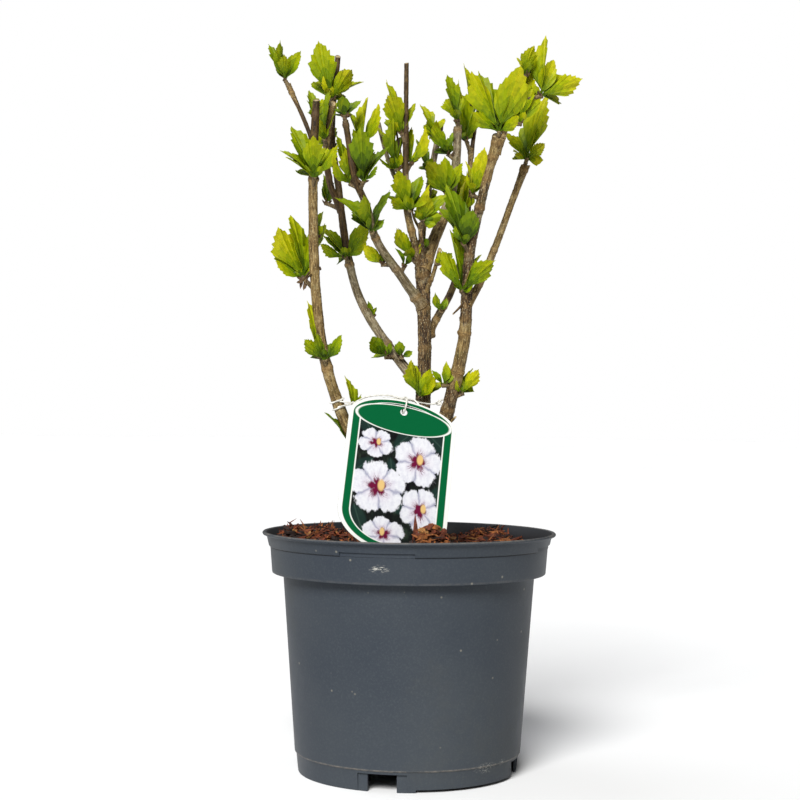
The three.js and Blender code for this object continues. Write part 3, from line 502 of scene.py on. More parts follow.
def darker(hex_colour, share):
    """A share of an sRGB hex value, as another hex value."""
    return "#" + "".join(f"{int(int(hex_colour[i : i + 2], 16) * share):02X}" for i in (1, 3, 5))


# Weathered bark: dull, with a streaky grain a few millimetres long.
BARK_TONES = {
    "red_brown_bark_chip": "#74361B",
    "tan_bark_chip": "#9C5C2A",
    "dark_bark_chip": "#2E1A12",
    "rusty_bark_fibre": "#87401A",
    "pale_wood_sliver": "#AC773C",
}
RED_BROWN, TAN_CHIP, DARK_CHIP, RUSTY, PALE = range(len(BARK_TONES))
chip_materials = []
for name, colour in BARK_TONES.items():
    tones = [(0.32, darker(colour, 0.45)), (0.62, colour)]
    chip_materials.append(grained_material(name, (420, 5, 0.65), tones, (0.7, 0.8), Roughness=0.88))

STREWN_PIECES = 1900
STREWN_RADIUS = 103
BARE_RADIUS = 15
FLAKE_SHARE = 0.55
FLAKE_TONES = [RED_BROWN, RED_BROWN, TAN_CHIP, DARK_CHIP, DARK_CHIP, RED_BROWN, PALE]
FIBRE_TONES = [RUSTY, RUSTY, RED_BROWN, TAN_CHIP, DARK_CHIP]
HEAPED_RADIUS = 104
HEAPED_TONES = [RUSTY, RED_BROWN, TAN_CHIP, DARK_CHIP]
FRONT_HEAP = HEAPS[2]
FRONT_PIECES = 80
FRONT_RADIUS = 99
FRONT_TONES = [RED_BROWN, TAN_CHIP, TAN_CHIP, DARK_CHIP, PALE, RED_BROWN]
# Each upright sliver: its place, height and lean.
UPRIGHT_SLIVERS = [(4.5, -90, 38, 0.05), (24, -89, 22, -0.2)]
SLIVER_BREADTH, SLIVER_THICK, SLIVER_SUNK = 5.5, 2.6, 2

draw = random.Random(11)
mulch = []
for _ in range(STREWN_PIECES):
    radius = STREWN_RADIUS * math.sqrt(draw.random())
    turn = draw.uniform(0, 2 * math.pi)
    x, y = radius * math.cos(turn), radius * math.sin(turn)
    if radius < BARE_RADIUS:
        continue
    if draw.random() < FLAKE_SHARE:
        length = draw.uniform(4, 15)
        points, faces = flake(draw, length, length * draw.uniform(0.3, 0.7), draw.uniform(0.6, 2.4))
        tone = draw.choice(FLAKE_TONES)
    else:
        points, faces = fibre(draw, draw.uniform(8, 26), draw.uniform(0.7, 2.0))
        tone = draw.choice(FIBRE_TONES)
    mulch.append((laid(points, draw, x, y, 0.3, draw.uniform(-0.5, 1.8)), faces, tone))
for hx, hy, _, spread in HEAPS:
    for _ in range(int(spread * 4)):
        x, y = draw.gauss(hx, spread / 2), draw.gauss(hy, spread / 2)
        if math.hypot(x, y) > HEAPED_RADIUS:
            continue
        points, faces = fibre(draw, draw.uniform(7, 20), draw.uniform(0.9, 2.4))
        placed = laid(points, draw, x, y, 0.55, draw.uniform(-0.5, 3))
        mulch.append((placed, faces, draw.choice(HEAPED_TONES)))
hx, hy, _, spread = FRONT_HEAP
for _ in range(FRONT_PIECES):
    x, y = draw.gauss(hx, spread), draw.gauss(hy + 3, spread * 0.5)
    if math.hypot(x, y) < FRONT_RADIUS:
        length = draw.uniform(6, 13)
        points, faces = flake(draw, length, length * draw.uniform(0.4, 0.8), draw.uniform(1.6, 3.6))
        placed = laid(points, draw, x, y, 0.6, draw.uniform(0, 6))
        mulch.append((placed, faces, draw.choice(FRONT_TONES)))
upright = Matrix.Rotation(math.radians(90), 3, "Z") @ Matrix.Rotation(math.radians(-90), 3, "Y")
for x, y, height, lean in UPRIGHT_SLIVERS:
    points, faces = flake(draw, height, SLIVER_BREADTH, SLIVER_THICK)
    points[:, 1] *= 0.9 - 1.0 * points[:, 0] / height
    stood = points @ np.array(upright @ Matrix.Rotation(lean, 3, "Z")).T
    mulch.append((stood + (x, y, SOIL_LEVEL + height / 2 - SLIVER_SUNK), faces, RED_BROWN))
mulch_piece = joined_mesh("bark_mulch", mulch, chip_materials)
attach(mulch_piece, "root")


# The label: a stiff printed polypropylene card that stands on the compost and leans back on the stems, with a
# punched eyelet. Its print is a green frame and header round pale blossoms on a dark garden.
LABEL_HALF = 42.4
LABEL_SIDE = 78
LABEL_TOP_ARCH = 18
LABEL_BOTTOM_ARCH = 30
LABEL_THICKNESS = 0.8
LABEL_ROUNDING = 0.2
LABEL_CENTRE = Vector((-12.8, -71.6, 203.8))
LABEL_ACROSS = Vector((0.96, 0.2, -0.197)).normalized()
LABEL_UP = Vector((0.09, 0.447, 0.89))
LABEL_UP = (LABEL_UP - LABEL_ACROSS * LABEL_UP.dot(LABEL_ACROSS)).normalized()
LABEL_OUT = LABEL_ACROSS.cross(LABEL_UP)
EYELET_X, EYELET_Y, EYELET_RADIUS = 0, 86, 2.8
ARCH_STEPS = 40
# The print's own map: its origin, and how much of it one metre of card takes up across and upwards.
PRINT_ORIGIN = (0.5, 0.3)
PRINT_SCALE = (10, 5)

label_to_world = Matrix((LABEL_ACROSS, LABEL_UP, LABEL_OUT)).transposed().to_4x4()
label_to_world.translation = LABEL_CENTRE
arch = [math.pi * i / ARCH_STEPS for i in range(ARCH_STEPS + 1)]
outline = [(LABEL_HALF * math.cos(a), LABEL_SIDE + LABEL_TOP_ARCH * math.sin(a)) for a in arch]
outline += [(-LABEL_HALF * math.cos(a), -LABEL_BOTTOM_ARCH * math.sin(a)) for a in arch]

bpy.ops.object.select_all(action="DESELECT")
bpy.ops.mesh.primitive_circle_add(vertices=len(outline), radius=1, fill_type="NGON")
label = bpy.context.object
label.name = "plant_label"
for vertex, (x, y) in zip(label.data.vertices, outline):
    vertex.co = (x * MM, y * MM, 0)
bpy.ops.object.mode_set(mode="EDIT")
bpy.ops.mesh.select_all(action="SELECT")
bpy.ops.mesh.extrude_region_move(TRANSFORM_OT_translate={"value": (0, 0, LABEL_THICKNESS * MM)})
bpy.ops.mesh.select_all(action="SELECT")
bpy.ops.mesh.normals_make_consistent(inside=False)
bpy.ops.object.mode_set(mode="OBJECT")
hole = (EYELET_X * MM, EYELET_Y * MM, 0)
bpy.ops.mesh.primitive_cylinder_add(vertices=32, radius=EYELET_RADIUS * MM, depth=10 * MM, location=hole)
cut_away(label, bpy.context.object)
round_edges(label, LABEL_ROUNDING)
print_map = label.data.uv_layers[0] if label.data.uv_layers else label.data.uv_layers.new()
print_map.name = "print"
for loop in label.data.loops:
    x, y, z = label.data.vertices[loop.vertex_index].co
    across = x if z > LABEL_THICKNESS * MM / 2 else -x
    u, v = across * PRINT_SCALE[0] + PRINT_ORIGIN[0], y * PRINT_SCALE[1] + PRINT_ORIGIN[1]
    print_map.data[loop.index].uv = (u, v)
label.matrix_world = Matrix.Scale(MM, 4) @ label_to_world @ Matrix.Scale(1 / MM, 4)
pick(label)
bpy.ops.object.transform_apply(location=True, rotation=True, scale=True)

# Smooth printed card, satin. The print's places are millimetres from the middle of the card's foot.
card, tree, shader = new_material("printed_card", Roughness=0.45, Specular_IOR_Level=0.05)
map_place = add_node(tree, "UVMap", output=0, uv_map="print")
millimetre = (PRINT_SCALE[0] * MM, PRINT_SCALE[1] * MM, 1)
values = {"Vector": map_place, "Location": (*PRINT_ORIGIN, 0), "Scale": millimetre}
print_place = add_node(tree, "Mapping", values, 0, vector_type="TEXTURE")


def ellipse_level(cx, cy, rx, ry):
    """0 at the middle of an ellipse in the print, 1 on its line."""
    values = {"Vector": print_place, "Location": (cx, cy, 0), "Scale": (rx, ry, 1)}
    squeezed = add_node(tree, "Mapping", values, 0, vector_type="TEXTURE")
    return add_node(tree, "VectorMath", [squeezed], "Value", operation="LENGTH")


# How near a place is to the card's edge: 0 at the middle of its foot, 1 on its outline.
x, y, _ = add_node(tree, "SeparateXYZ", [print_place]).outputs
across = add_node(tree, "Math", (x, LABEL_HALF), 0, operation="DIVIDE")
above_side = add_node(tree, "MapRange", (y, LABEL_SIDE, LABEL_SIDE + LABEL_TOP_ARCH, 0.0, 1.0), 0)
under_side = add_node(tree, "MapRange", (y, 0.0, -LABEL_BOTTOM_ARCH, 0.0, 1.0), 0)
reached = add_node(tree, "CombineXYZ", (across, above_side, under_side), 0)
frame_level = add_node(tree, "VectorMath", [reached], "Value", operation="LENGTH")

# The garden behind the blossoms: near-black shade with blurred dark leaves, each a tilted pointed oval with a
# pale midrib: its place, half its width, half its length and its tilt.
GARDEN_LEAVES = [
    (-27, 70, 7, 15, 0.5), (3, 64, 6, 13, -0.7), (28, 66, 7, 14, 0.9),
    (-4, 33, 6, 14, 0.2), (30, 20, 6, 14, -0.5), (-28, 35, 6, 12, -0.8),
    (2, 8, 6, 13, 1.0), (-26, -8, 7, 13, 0.4), (24, -16, 6, 12, -0.9),
]
GARDEN_TONES = [(0.4, "#0D0B0E"), (0.55, "#151A17"), (0.66, "#263026"), (0.8, "#3A2522")]
values = {"Vector": map_place, "Scale": 14.0, "Detail": 6.0, "Roughness": 0.6}
shade = add_node(tree, "TexNoise", values, "Fac")
colour = add_node(tree, "ValToRGB", [shade], "Color", GARDEN_TONES)
layers = []
for cx, cy, half, tall, turn in GARDEN_LEAVES:
    values = {"Vector": print_place, "Location": (cx, cy, 0), "Scale": (half, tall, 1)}
    values["Rotation"] = (0, 0, turn)
    on_leaf = add_node(tree, "Mapping", values, 0, vector_type="TEXTURE")
    folded = add_node(tree, "VectorMath", [on_leaf], 0, operation="ABSOLUTE")
    x, y, _ = add_node(tree, "SeparateXYZ", [folded]).outputs
    u = add_node(tree, "Math", (x, 1.4), 0, operation="POWER")
    v = add_node(tree, "Math", (y, 1.8), 0, operation="POWER")
    level = add_node(tree, "Math", (u, v), 0, operation="ADD")
    midrib = below(tree, x, 0.07, 0.05)
    leaf = add_node(tree, "Mix", {0: midrib, 6: "#1B2F2A", 7: "#2E453C"}, 2, data_type="RGBA")
    layers.append((below(tree, level, 0.85, 0.2, 0.75), leaf))

# The blossoms, each seen a little from the side: five petals with ruffled edges and fine veins, a crimson eye
# that runs out along the veins, and a cream column of stamens. Each: its place, size, turn and extra breadth.
BLOSSOMS = [
    (-19, 56, 13, 0.3, 0.2), (15, 47, 20, 1.1, -0.15), (-14, 20, 22, 0.75, 0.1),
    (20, 8, 17, 0.1, -0.25), (-6, -16, 15, 2.0, 0.3),
]
values = {"Vector": map_place, "Scale": 34.0, "Detail": 4.0, "Roughness": 0.65}
ruffle = add_node(tree, "TexNoise", values, "Fac")
ruffled = add_node(tree, "Math", (ruffle, 0.42, -0.21), 0, operation="MULTIPLY_ADD")
wobble = add_node(tree, "Math", (shade, 0.8, -0.4), 0, operation="MULTIPLY_ADD")
mottled = below(tree, ruffle, 0.47, 0.09, 0.35)
for cx, cy, size, turn, squash in BLOSSOMS:
    smooth_edge = ellipse_level(cx, cy, size * (1 + squash / 3), size * (1 - squash / 3))
    distance = add_node(tree, "Math", (smooth_edge, ruffled), 0, operation="ADD")
    about = add_node(tree, "VectorMath", (print_place, (cx, cy, 0)), 0, operation="SUBTRACT")
    x, y, _ = add_node(tree, "SeparateXYZ", [about]).outputs
    bearing = add_node(tree, "Math", (y, x), 0, operation="ARCTAN2")
    turned = add_node(tree, "Math", (bearing, turn), 0, operation="ADD")
    angle = add_node(tree, "Math", (turned, wobble), 0, operation="ADD")
    petals = add_node(tree, "Math", (angle, 2.5), 0, operation="MULTIPLY")
    wave = add_node(tree, "Math", [petals], 0, operation="COSINE")
    lobe = add_node(tree, "Math", [wave], 0, operation="ABSOLUTE")
    rounded = add_node(tree, "Math", (lobe, 0.5), 0, operation="POWER")
    petal_edge = add_node(tree, "Math", (rounded, 0.26, 0.74), 0, operation="MULTIPLY_ADD")
    reach = add_node(tree, "Math", (distance, petal_edge), 0, operation="DIVIDE")
    vein_count = add_node(tree, "Math", (angle, 22.0), 0, operation="MULTIPLY")
    wave = add_node(tree, "Math", [vein_count], 0, operation="SINE")
    veins = add_node(tree, "Math", [wave], 0, operation="ABSOLUTE")
    longer = add_node(tree, "Math", (below(tree, veins, 0.35, 0.3, 0.2), 0.08), 0, operation="ADD")
    rays = add_node(tree, "Math", (lobe, longer, 0.24), 0, operation="MULTIPLY_ADD")
    column = ellipse_level(cx + 0.16 * size * math.cos(turn), cy + 0.1 * size, 0.12 * size, 0.21 * size)
    petal_layers = [
        (add_node(tree, "MapRange", (lobe, 0.0, 0.42, 0.0, 1.0), 0), "#CDCDD0"),
        (below(tree, veins, 0.16, 0.16, 0.3), "#A5A2B4"),
        (mottled, "#A9A9B8"),
        (below(tree, reach, 0.45, 0.25, 0.4), "#A98FA8"),
        (below(tree, reach, rays, 0.06), "#5E1230"),
        (below(tree, column, 1.0, 0.22), "#C8A86C"),
    ]
    petal = "#86879A"
    for share, over in petal_layers:
        petal = add_node(tree, "Mix", {0: share, 6: petal, 7: over}, 2, data_type="RGBA")
    layers.append((below(tree, reach, 1.0, 0.035), petal))
for share, over in layers:
    colour = add_node(tree, "Mix", {0: share, 6: colour, 7: over}, 2, data_type="RGBA")

# The header's oval with its white line, over the picture, and round both a white line, the green frame and
# the card's white border. Each band: its share, and the colour outside or inside it.
HEADER = (0.6, 79.1, 36.4, 11.2)
PRINT_WHITE, PRINT_GREEN = "#D9D9D3", "#02532D"
header = ellipse_level(*HEADER)
bands = [
    (below(tree, frame_level, 0.775, 0.006), PRINT_WHITE, None),
    (below(tree, frame_level, 0.797, 0.006), PRINT_GREEN, None),
    (below(tree, header, 1.055, 0.015), None, PRINT_WHITE),
    (below(tree, header, 1.0, 0.02), None, PRINT_GREEN),
    (below(tree, frame_level, 0.925, 0.006), PRINT_WHITE, None),
]
for share, without, within in bands:
    colour = add_node(tree, "Mix", {0: share, 6: without or colour, 7: within or colour}, 2, data_type="RGBA")
tree.links.new(colour, shader.inputs["Base Color"])
label.data.materials.append(card)
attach(label, "root")
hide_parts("label")


# The tie: soft off-white string, passed through the eyelet and twice round the left stem, and frayed at its
# knotted end. Its strands come together in three small knots.
def smooth_route(way, step):
    """Points at even steps along a smooth curve through the way points, and their shares of its length."""
    p = np.array([tuple(place) for place in way], float)
    p = np.vstack([2 * p[0] - p[1], p, 2 * p[-1] - p[-2]])
    track = []
    for i in range(1, len(p) - 2):
        a, b, c, d = p[i - 1 : i + 3]
        k0, k1, k2 = [max(np.linalg.norm(q - r), 1e-4) ** 0.5 for q, r in ((b, a), (c, b), (d, c))]
        out = ((b - a) / k0 - (c - a) / (k0 + k1) + (c - b) / k1) * k1
        into = ((c - b) / k1 - (d - b) / (k1 + k2) + (d - c) / k2) * k1
        t = np.linspace(0, 1, 40, endpoint=False)[:, None]
        track.append(b + out * t + (3 * (c - b) - 2 * out - into) * t**2 + (2 * (b - c) + out + into) * t**3)
    track = np.vstack(track + [p[-2][None]])
    lengths = np.concatenate([[0], np.cumsum(np.linalg.norm(np.diff(track, axis=0), axis=1))])
    count = max(2, round(lengths[-1] / step))
    wanted = np.linspace(0, lengths[-1], count + 1)
    return np.stack([np.interp(wanted, lengths, track[:, k]) for k in range(3)], axis=1), wanted / lengths[-1]


def sweep(points, radius_at, sides):
    """A closed round body along a route, as points and faces. radius_at(station, angle) gives each radius."""
    tangent = np.gradient(points, axis=0)
    tangent /= np.linalg.norm(tangent, axis=1)[:, None]
    side = np.cross(tangent[0], (0.0, 1.0, 0.1))
    rings = []
    angles = np.arange(sides) * 2 * math.pi / sides
    for station, (centre, along) in enumerate(zip(points, tangent)):
        side = side - along * side.dot(along)
        side /= np.linalg.norm(side)
        up = np.cross(along, side)
        radii = np.array([radius_at(station, angle) for angle in angles])[:, None]
        rings.append(centre + radii * (np.cos(angles)[:, None] * side + np.sin(angles)[:, None] * up))
    body = np.vstack([points[:1]] + rings + [points[-1:]])
    return body, [face[::-1] for face in ring_faces(len(points), sides)]


LEFT_STEM = [
    (0, -1, 203), (-29, -10, 238), (-48, -18, 268), (-66, -24, 319), (-73, -28, 366), (-76, -33, 460),
    (-74, -36, 519),
]
STRING_RADIUS = 0.62
STRING_SIDES = 8
STRING_STEP = 0.7
PLY_DEPTH, PLY_TWIST = 0.16, 1.1
TURN_HEIGHTS = (289, 284)
TURN_RADIUS, STRAND_OUT = 5.4, 5.6
RING_MIDDLE, RING_RADIUS = 5.4, 5.6
KNOT_RISE = 11.4
LEFT_KNOT = (-44, -29, 287)
RIGHT_KNOT = (22, -14, 288)
eyelet_place = Vector((EYELET_X, EYELET_Y, LABEL_THICKNESS / 2))
top_knot = tuple(label_to_world @ (eyelet_place + Vector((0, KNOT_RISE, 0))))

# Two turns round the left stem, each with a strand that leads to the left knot.
stem_points, _ = smooth_route(LEFT_STEM, 0.5)
string_routes = []
for height in TURN_HEIGHTS:
    at = int(np.argmin(np.abs(stem_points[:, 2] - height)))
    centre, along = stem_points[at], Vector(stem_points[at + 1] - stem_points[at - 1]).normalized()
    first = along.cross(Vector((0, 1, 0))).normalized()
    second = along.cross(first)
    string_routes.append([
        centre + (TURN_RADIUS + 0.5 * math.sin(3 * a)) * (first * math.cos(a) + second * math.sin(a))
        for a in np.linspace(0.2, 6.3, 15)
    ])
    string_routes.append([(centre[0] + 1, centre[1] - STRAND_OUT, height), (-56, -25, height), LEFT_KNOT])
# The ring through the eyelet, the two strands between the left knot and the top one, the strand behind the
# card to the right knot, and the frayed ends.
ring = []
for a in np.linspace(-0.2, 6.3, 16):
    offset = Vector((0, RING_MIDDLE - RING_RADIUS * math.cos(a), RING_RADIUS * math.sin(a)))
    ring.append(label_to_world @ (eyelet_place + offset))
string_routes.append(ring)
string_routes += [
    [LEFT_KNOT, (-34, -33, 292), (-18, -31, 293.5), top_knot],
    [LEFT_KNOT, (-38, -31, 288), (-22, -30, 291), top_knot],
    [top_knot, (8, -19, 288), (17, -13, 287), RIGHT_KNOT],
    [RIGHT_KNOT, (25, -15, 290.5), (28, -16, 289.5)],
    [RIGHT_KNOT, (25, -15, 286), (27.5, -15, 284)],
    [top_knot, (3, -25, 290), (7, -27, 286)],
]
for (x, y, z), size in ((LEFT_KNOT, 1.5), (top_knot, 2.1), (RIGHT_KNOT, 2.2)):
    string_routes.append([
        (x + size * math.cos(a) * 0.8, y + size * math.sin(2 * a) * 0.4, z + size * math.sin(a) * 0.7)
        for a in np.linspace(0, 9.5, 22)
    ])


def plied_radius(station, angle):
    """The string's radius: two plies that wind round each other."""
    return STRING_RADIUS * (1 + PLY_DEPTH * math.cos(2 * angle + PLY_TWIST * station))


string_parts = []
for route in string_routes:
    points, _ = smooth_route(route, STRING_STEP)
    body, faces = sweep(points, plied_radius, STRING_SIDES)
    string_parts.append((body, faces, 0))

# Twisted cotton: matt, off-white, slightly soiled, with a fine fibre bump.
cotton_tones = [(0.35, "#BDBAAE"), (0.65, "#E8E6DE")]
cotton_skin = {"Roughness": 0.92, "Sheen_Weight": 0.25}
cotton = grained_material("twisted_cotton", (300, 4, 0.5), cotton_tones, (0.5, 0.3), **cotton_skin)
string = joined_mesh("label_string", string_parts, [cotton], smooth=True)
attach(string, "root")
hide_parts("label_tie")


# The trunk and stems: grown wood, pruned hard. The trunk's bark is brown, fissured and freckled with pale
# lenticels, the stems are tan or silvery with swollen rings where leaves and twigs left them, last year's
# tips are dark brown, and every pruned tip is a slanted cut of pale wood.
OLD, TAN, SILVER, DARK, CUT = range(5)
RELIEF = {OLD: 0.6, TAN: 0.25, SILVER: 0.18, DARK: 0.12}
FLARE_HEIGHT = 22
FLARE = 3.5
HEAD_LENGTH = 22
LIMB_STEP = 1.1
# Each limb: name, its barks with the height that each starts at, foot and tip radius, radius of its pruned
# head, and its route.
LIMBS = [
    ("trunk", [(OLD, 0)], (8.6, 5.2), 6.0,
     [(1, 1, 172.3), (6, 0, 235), (10, 0, 286), (11, 0, 329), (10, 2, 369), (8, 4, 402)]),
    ("left_stem", [(TAN, 0), (DARK, 462)], (5.2, 3.1), 2.7, LEFT_STEM),
    ("left_side_twig", [(DARK, 0), (TAN, 520)], (1.8, 1.6), 2.4,
     [(-74, -31, 459), (-78, -26, 490), (-97, -14, 535)]),
    ("inner_left_stem", [(SILVER, 0), (DARK, 400)], (4.2, 2), 2.2,
     [(9, 2, 301), (-8, 12, 320), (-40, 30, 369), (-52, 40, 411), (-59, 47, 460), (-65, 50, 505),
      (-61, 54, 570)]),
    ("inner_left_branch", [(DARK, 0), (TAN, 486)], (2.4, 3.2), 3.4,
     [(-57, 45, 442), (-66, 41, 465), (-69, 36, 490), (-65, 30, 527)]),
    ("mid_left_stem", [(SILVER, 0), (DARK, 446)], (3.9, 2.2), 2.3,
     [(9, 0, 364), (-6, -10, 384), (-28, -26, 415), (-35, -34, 439), (-43, -42, 457), (-51, -50, 501)]),
    ("centre_stem", [(OLD, 0), (TAN, 418), (DARK, 462)], (3.3, 1.7), 1.8,
     [(8, 3, 394), (3, -2, 412), (-4, -8, 441), (-5, -7, 490), (-5, -4, 554)]),
    ("centre_side_twig", [(SILVER, 0)], (1.9, 1.6), 1.8,
     [(-5, -8, 452), (-14, 4, 467), (-21, 12, 487), (-27, 18, 511)]),
    ("dead_stub", [(OLD, 0)], (2.4, 2.1), 2.3, [(9, 4, 392), (8, -3, 412), (7, -7, 427)]),
    ("back_right_stem", [(TAN, 0), (SILVER, 440)], (5.3, 3.1), 3.3,
     [(9, 4, 392), (18, 14, 417), (28, 24, 444), (35, 32, 474), (37, 40, 512)]),
    ("back_centre_stem", [(TAN, 0), (SILVER, 430)], (2.9, 2.5), 2.7,
     [(8, 4, 392), (9, 22, 426), (15, 41, 468), (23, 54, 515)]),
    ("right_stem", [(OLD, 0), (TAN, 298), (OLD, 352), (TAN, 452)], (6.5, 3.1), 5.4,
     [(3, 0, 198), (19, -8, 247), (30, -15, 286), (41, -26, 337), (44, -40, 401), (53, -48, 444),
      (65, -56, 489)]),
    ("right_outer_twig", [(TAN, 0)], (2.9, 2.7), 3.6,
     [(43, -33, 363), (53, -26, 381), (64, -18, 407), (89, -2, 475)]),
    ("right_top_twig", [(TAN, 0), (DARK, 500)], (2.1, 1.9), 2.0,
     [(64, -55, 476), (71, -56, 498), (81, -60, 537)]),
    ("inner_right_stem", [(TAN, 0), (DARK, 370), (TAN, 478)], (3.3, 2), 2.2,
     [(10, 1, 333), (20, 12, 354), (35, 32, 384), (46, 56, 442), (49, 68, 499)]),
    ("back_dark_twig", [(DARK, 0)], (1.8, 1.6), 1.8, [(49, 67, 490), (52, 72, 514), (56, 76, 536)]),
    ("trunk_shoot", [(TAN, 0)], (1.8, 1.5), 1.7, [(10, 1, 371), (17, -6, 388), (22, -14, 407)]),
]
FINE_TWIGS = [
    ("black_centre_twig", [(DARK, 0)], (0.9, 0.7), 0.9, [(-5, -8, 458), (-8, -5, 478), (-13, 2, 503)]),
    ("dry_right_twig", [(DARK, 0)], (1.1, 0.6), 0.6, [(42, -30, 367), (37, -36, 361), (32, -40, 356)]),
    ("dry_left_twig", [(DARK, 0)], (1.2, 0.6), 0.5,
     [(-70, -27, 391), (-78, -30, 388), (-81, -32, 384), (-84, -31, 380)]),
    ("dry_left_spur", [(DARK, 0)], (0.9, 0.6), 0.6, [(-73, -28, 387), (-79, -34, 384), (-81, -36, 379)]),
    ("right_foot_spur", [(TAN, 0)], (1.3, 0.8), 0.9, [(25, -11, 270), (31, -15, 273), (35, -17, 277)]),
    ("centre_back_spur", [(TAN, 0)], (1.2, 0.7), 0.8, [(8, 20, 424), (2, 25, 436), (-1, 27, 449)]),
]
ROUTES = {limb[0]: smooth_route(limb[-1], LIMB_STEP) for limb in LIMBS + FINE_TWIGS}
LENGTHS = {}
for name, (points, _) in ROUTES.items():
    LENGTHS[name] = float(np.linalg.norm(np.diff(points, axis=0), axis=1).sum())
# Swollen rings: height on the limb, and how far the bark stands proud as a share of the limb's radius.
RINGS = {
    "trunk": [(262, 0.14), (303, 0.1), (331, 0.12), (362, 0.16), (388, 0.12)],
    "left_stem": [(247, 0.1), (314, 0.2), (352, 0.06), (388, 0.08), (459, 0.32), (508, 0.12)],
    "left_side_twig": [(488, 0.12), (528, 0.3)],
    "inner_left_stem": [
        (306, 0.35), (311, 0.2), (334, 0.14), (362, 0.05), (399, 0.28),
        (431, 0.08), (447, 0.15), (489, 0.1), (545, 0.1),
    ],
    "inner_left_branch": [(470, 0.1), (516, 0.14), (524, 0.1)],
    "mid_left_stem": [(371, 0.28), (392, 0.12), (415, 0.2), (441, 0.25), (470, 0.1), (498, 0.25)],
    "centre_stem": [(408, 0.12), (423, 0.22), (447, 0.2), (470, 0.12), (503, 0.06), (531, 0.06)],
    "back_right_stem": [(401, 0.14), (438, 0.16), (470, 0.1), (508, 0.16)],
    "back_centre_stem": [(405, 0.12), (440, 0.14), (482, 0.16), (512, 0.14)],
    "right_stem": [
        (240, 0.12), (264, 0.16), (283, 0.14), (312, 0.2), (342, 0.22), (353, 0.1),
        (401, 0.14), (437, 0.26), (458, 0.1), (474, 0.14), (484, 0.12),
    ],
    "right_outer_twig": [(380, 0.14), (407, 0.12), (440, 0.08), (471, 0.2)],
    "right_top_twig": [(498, 0.14), (520, 0.12)],
    "inner_right_stem": [(343, 0.6), (354, 0.25), (365, 0.1), (440, 0.12), (475, 0.1), (495, 0.3)],
    "back_dark_twig": [(512, 0.1)],
    "trunk_shoot": [(384, 0.3), (398, 0.2)],
}
# The trunk's slimmer middle: its height, how far it spreads and the share that it takes off.
TRUNK_WAIST = (318, 44, 0.17)
# How far along a limb, in millimetres, its foot's collar, a ring's swelling and a ring's tan skin reach, and
# by what share the collar swells. Each ring has a crease on both sides.
COLLAR_REACH, COLLAR_SWELL = 7, 0.35
SWELLING_REACH, SKIN_REACH, RING_ENDS = 2.6, 2.2, 9
CREASES = (-2.4, 1.9)
CREASE_DEPTH, CREASE_REACH = 0.3, 0.55
TRUNK_SIDES, STEM_SIDES, TWIG_SIDES = 40, 30, 18
TWIG_RADIUS = 3
# The bark's relief: how fine its fissures, lumps and grit are round the limb and along it, to the millimetre.
FISSURES, LUMPS, GRIT = (0.8, 0.13), (0.14, 0.06), (1.5, 0.8)
# Where one bark gives way to the next, the border wanders up and down the limb by as much as this.
BORDER_WANDER = 9
CUT_SHARE = 0.82
CUT_SINK = 0.35


def limb_radius(name, share):
    """A limb's plain taper, with the trunk's root flare and the knuckle at a tip."""
    _, _, (foot, tip), head, _ = next(limb for limb in LIMBS + FINE_TWIGS if limb[0] == name)
    length = LENGTHS[name]
    radius = foot + (tip - foot) * share
    if name == "trunk":
        radius += FLARE * max(0, 1 - share * length / FLARE_HEIGHT) ** 2
    return radius + (head - tip) * max(0, 1 - (1 - share) * length / HEAD_LENGTH)


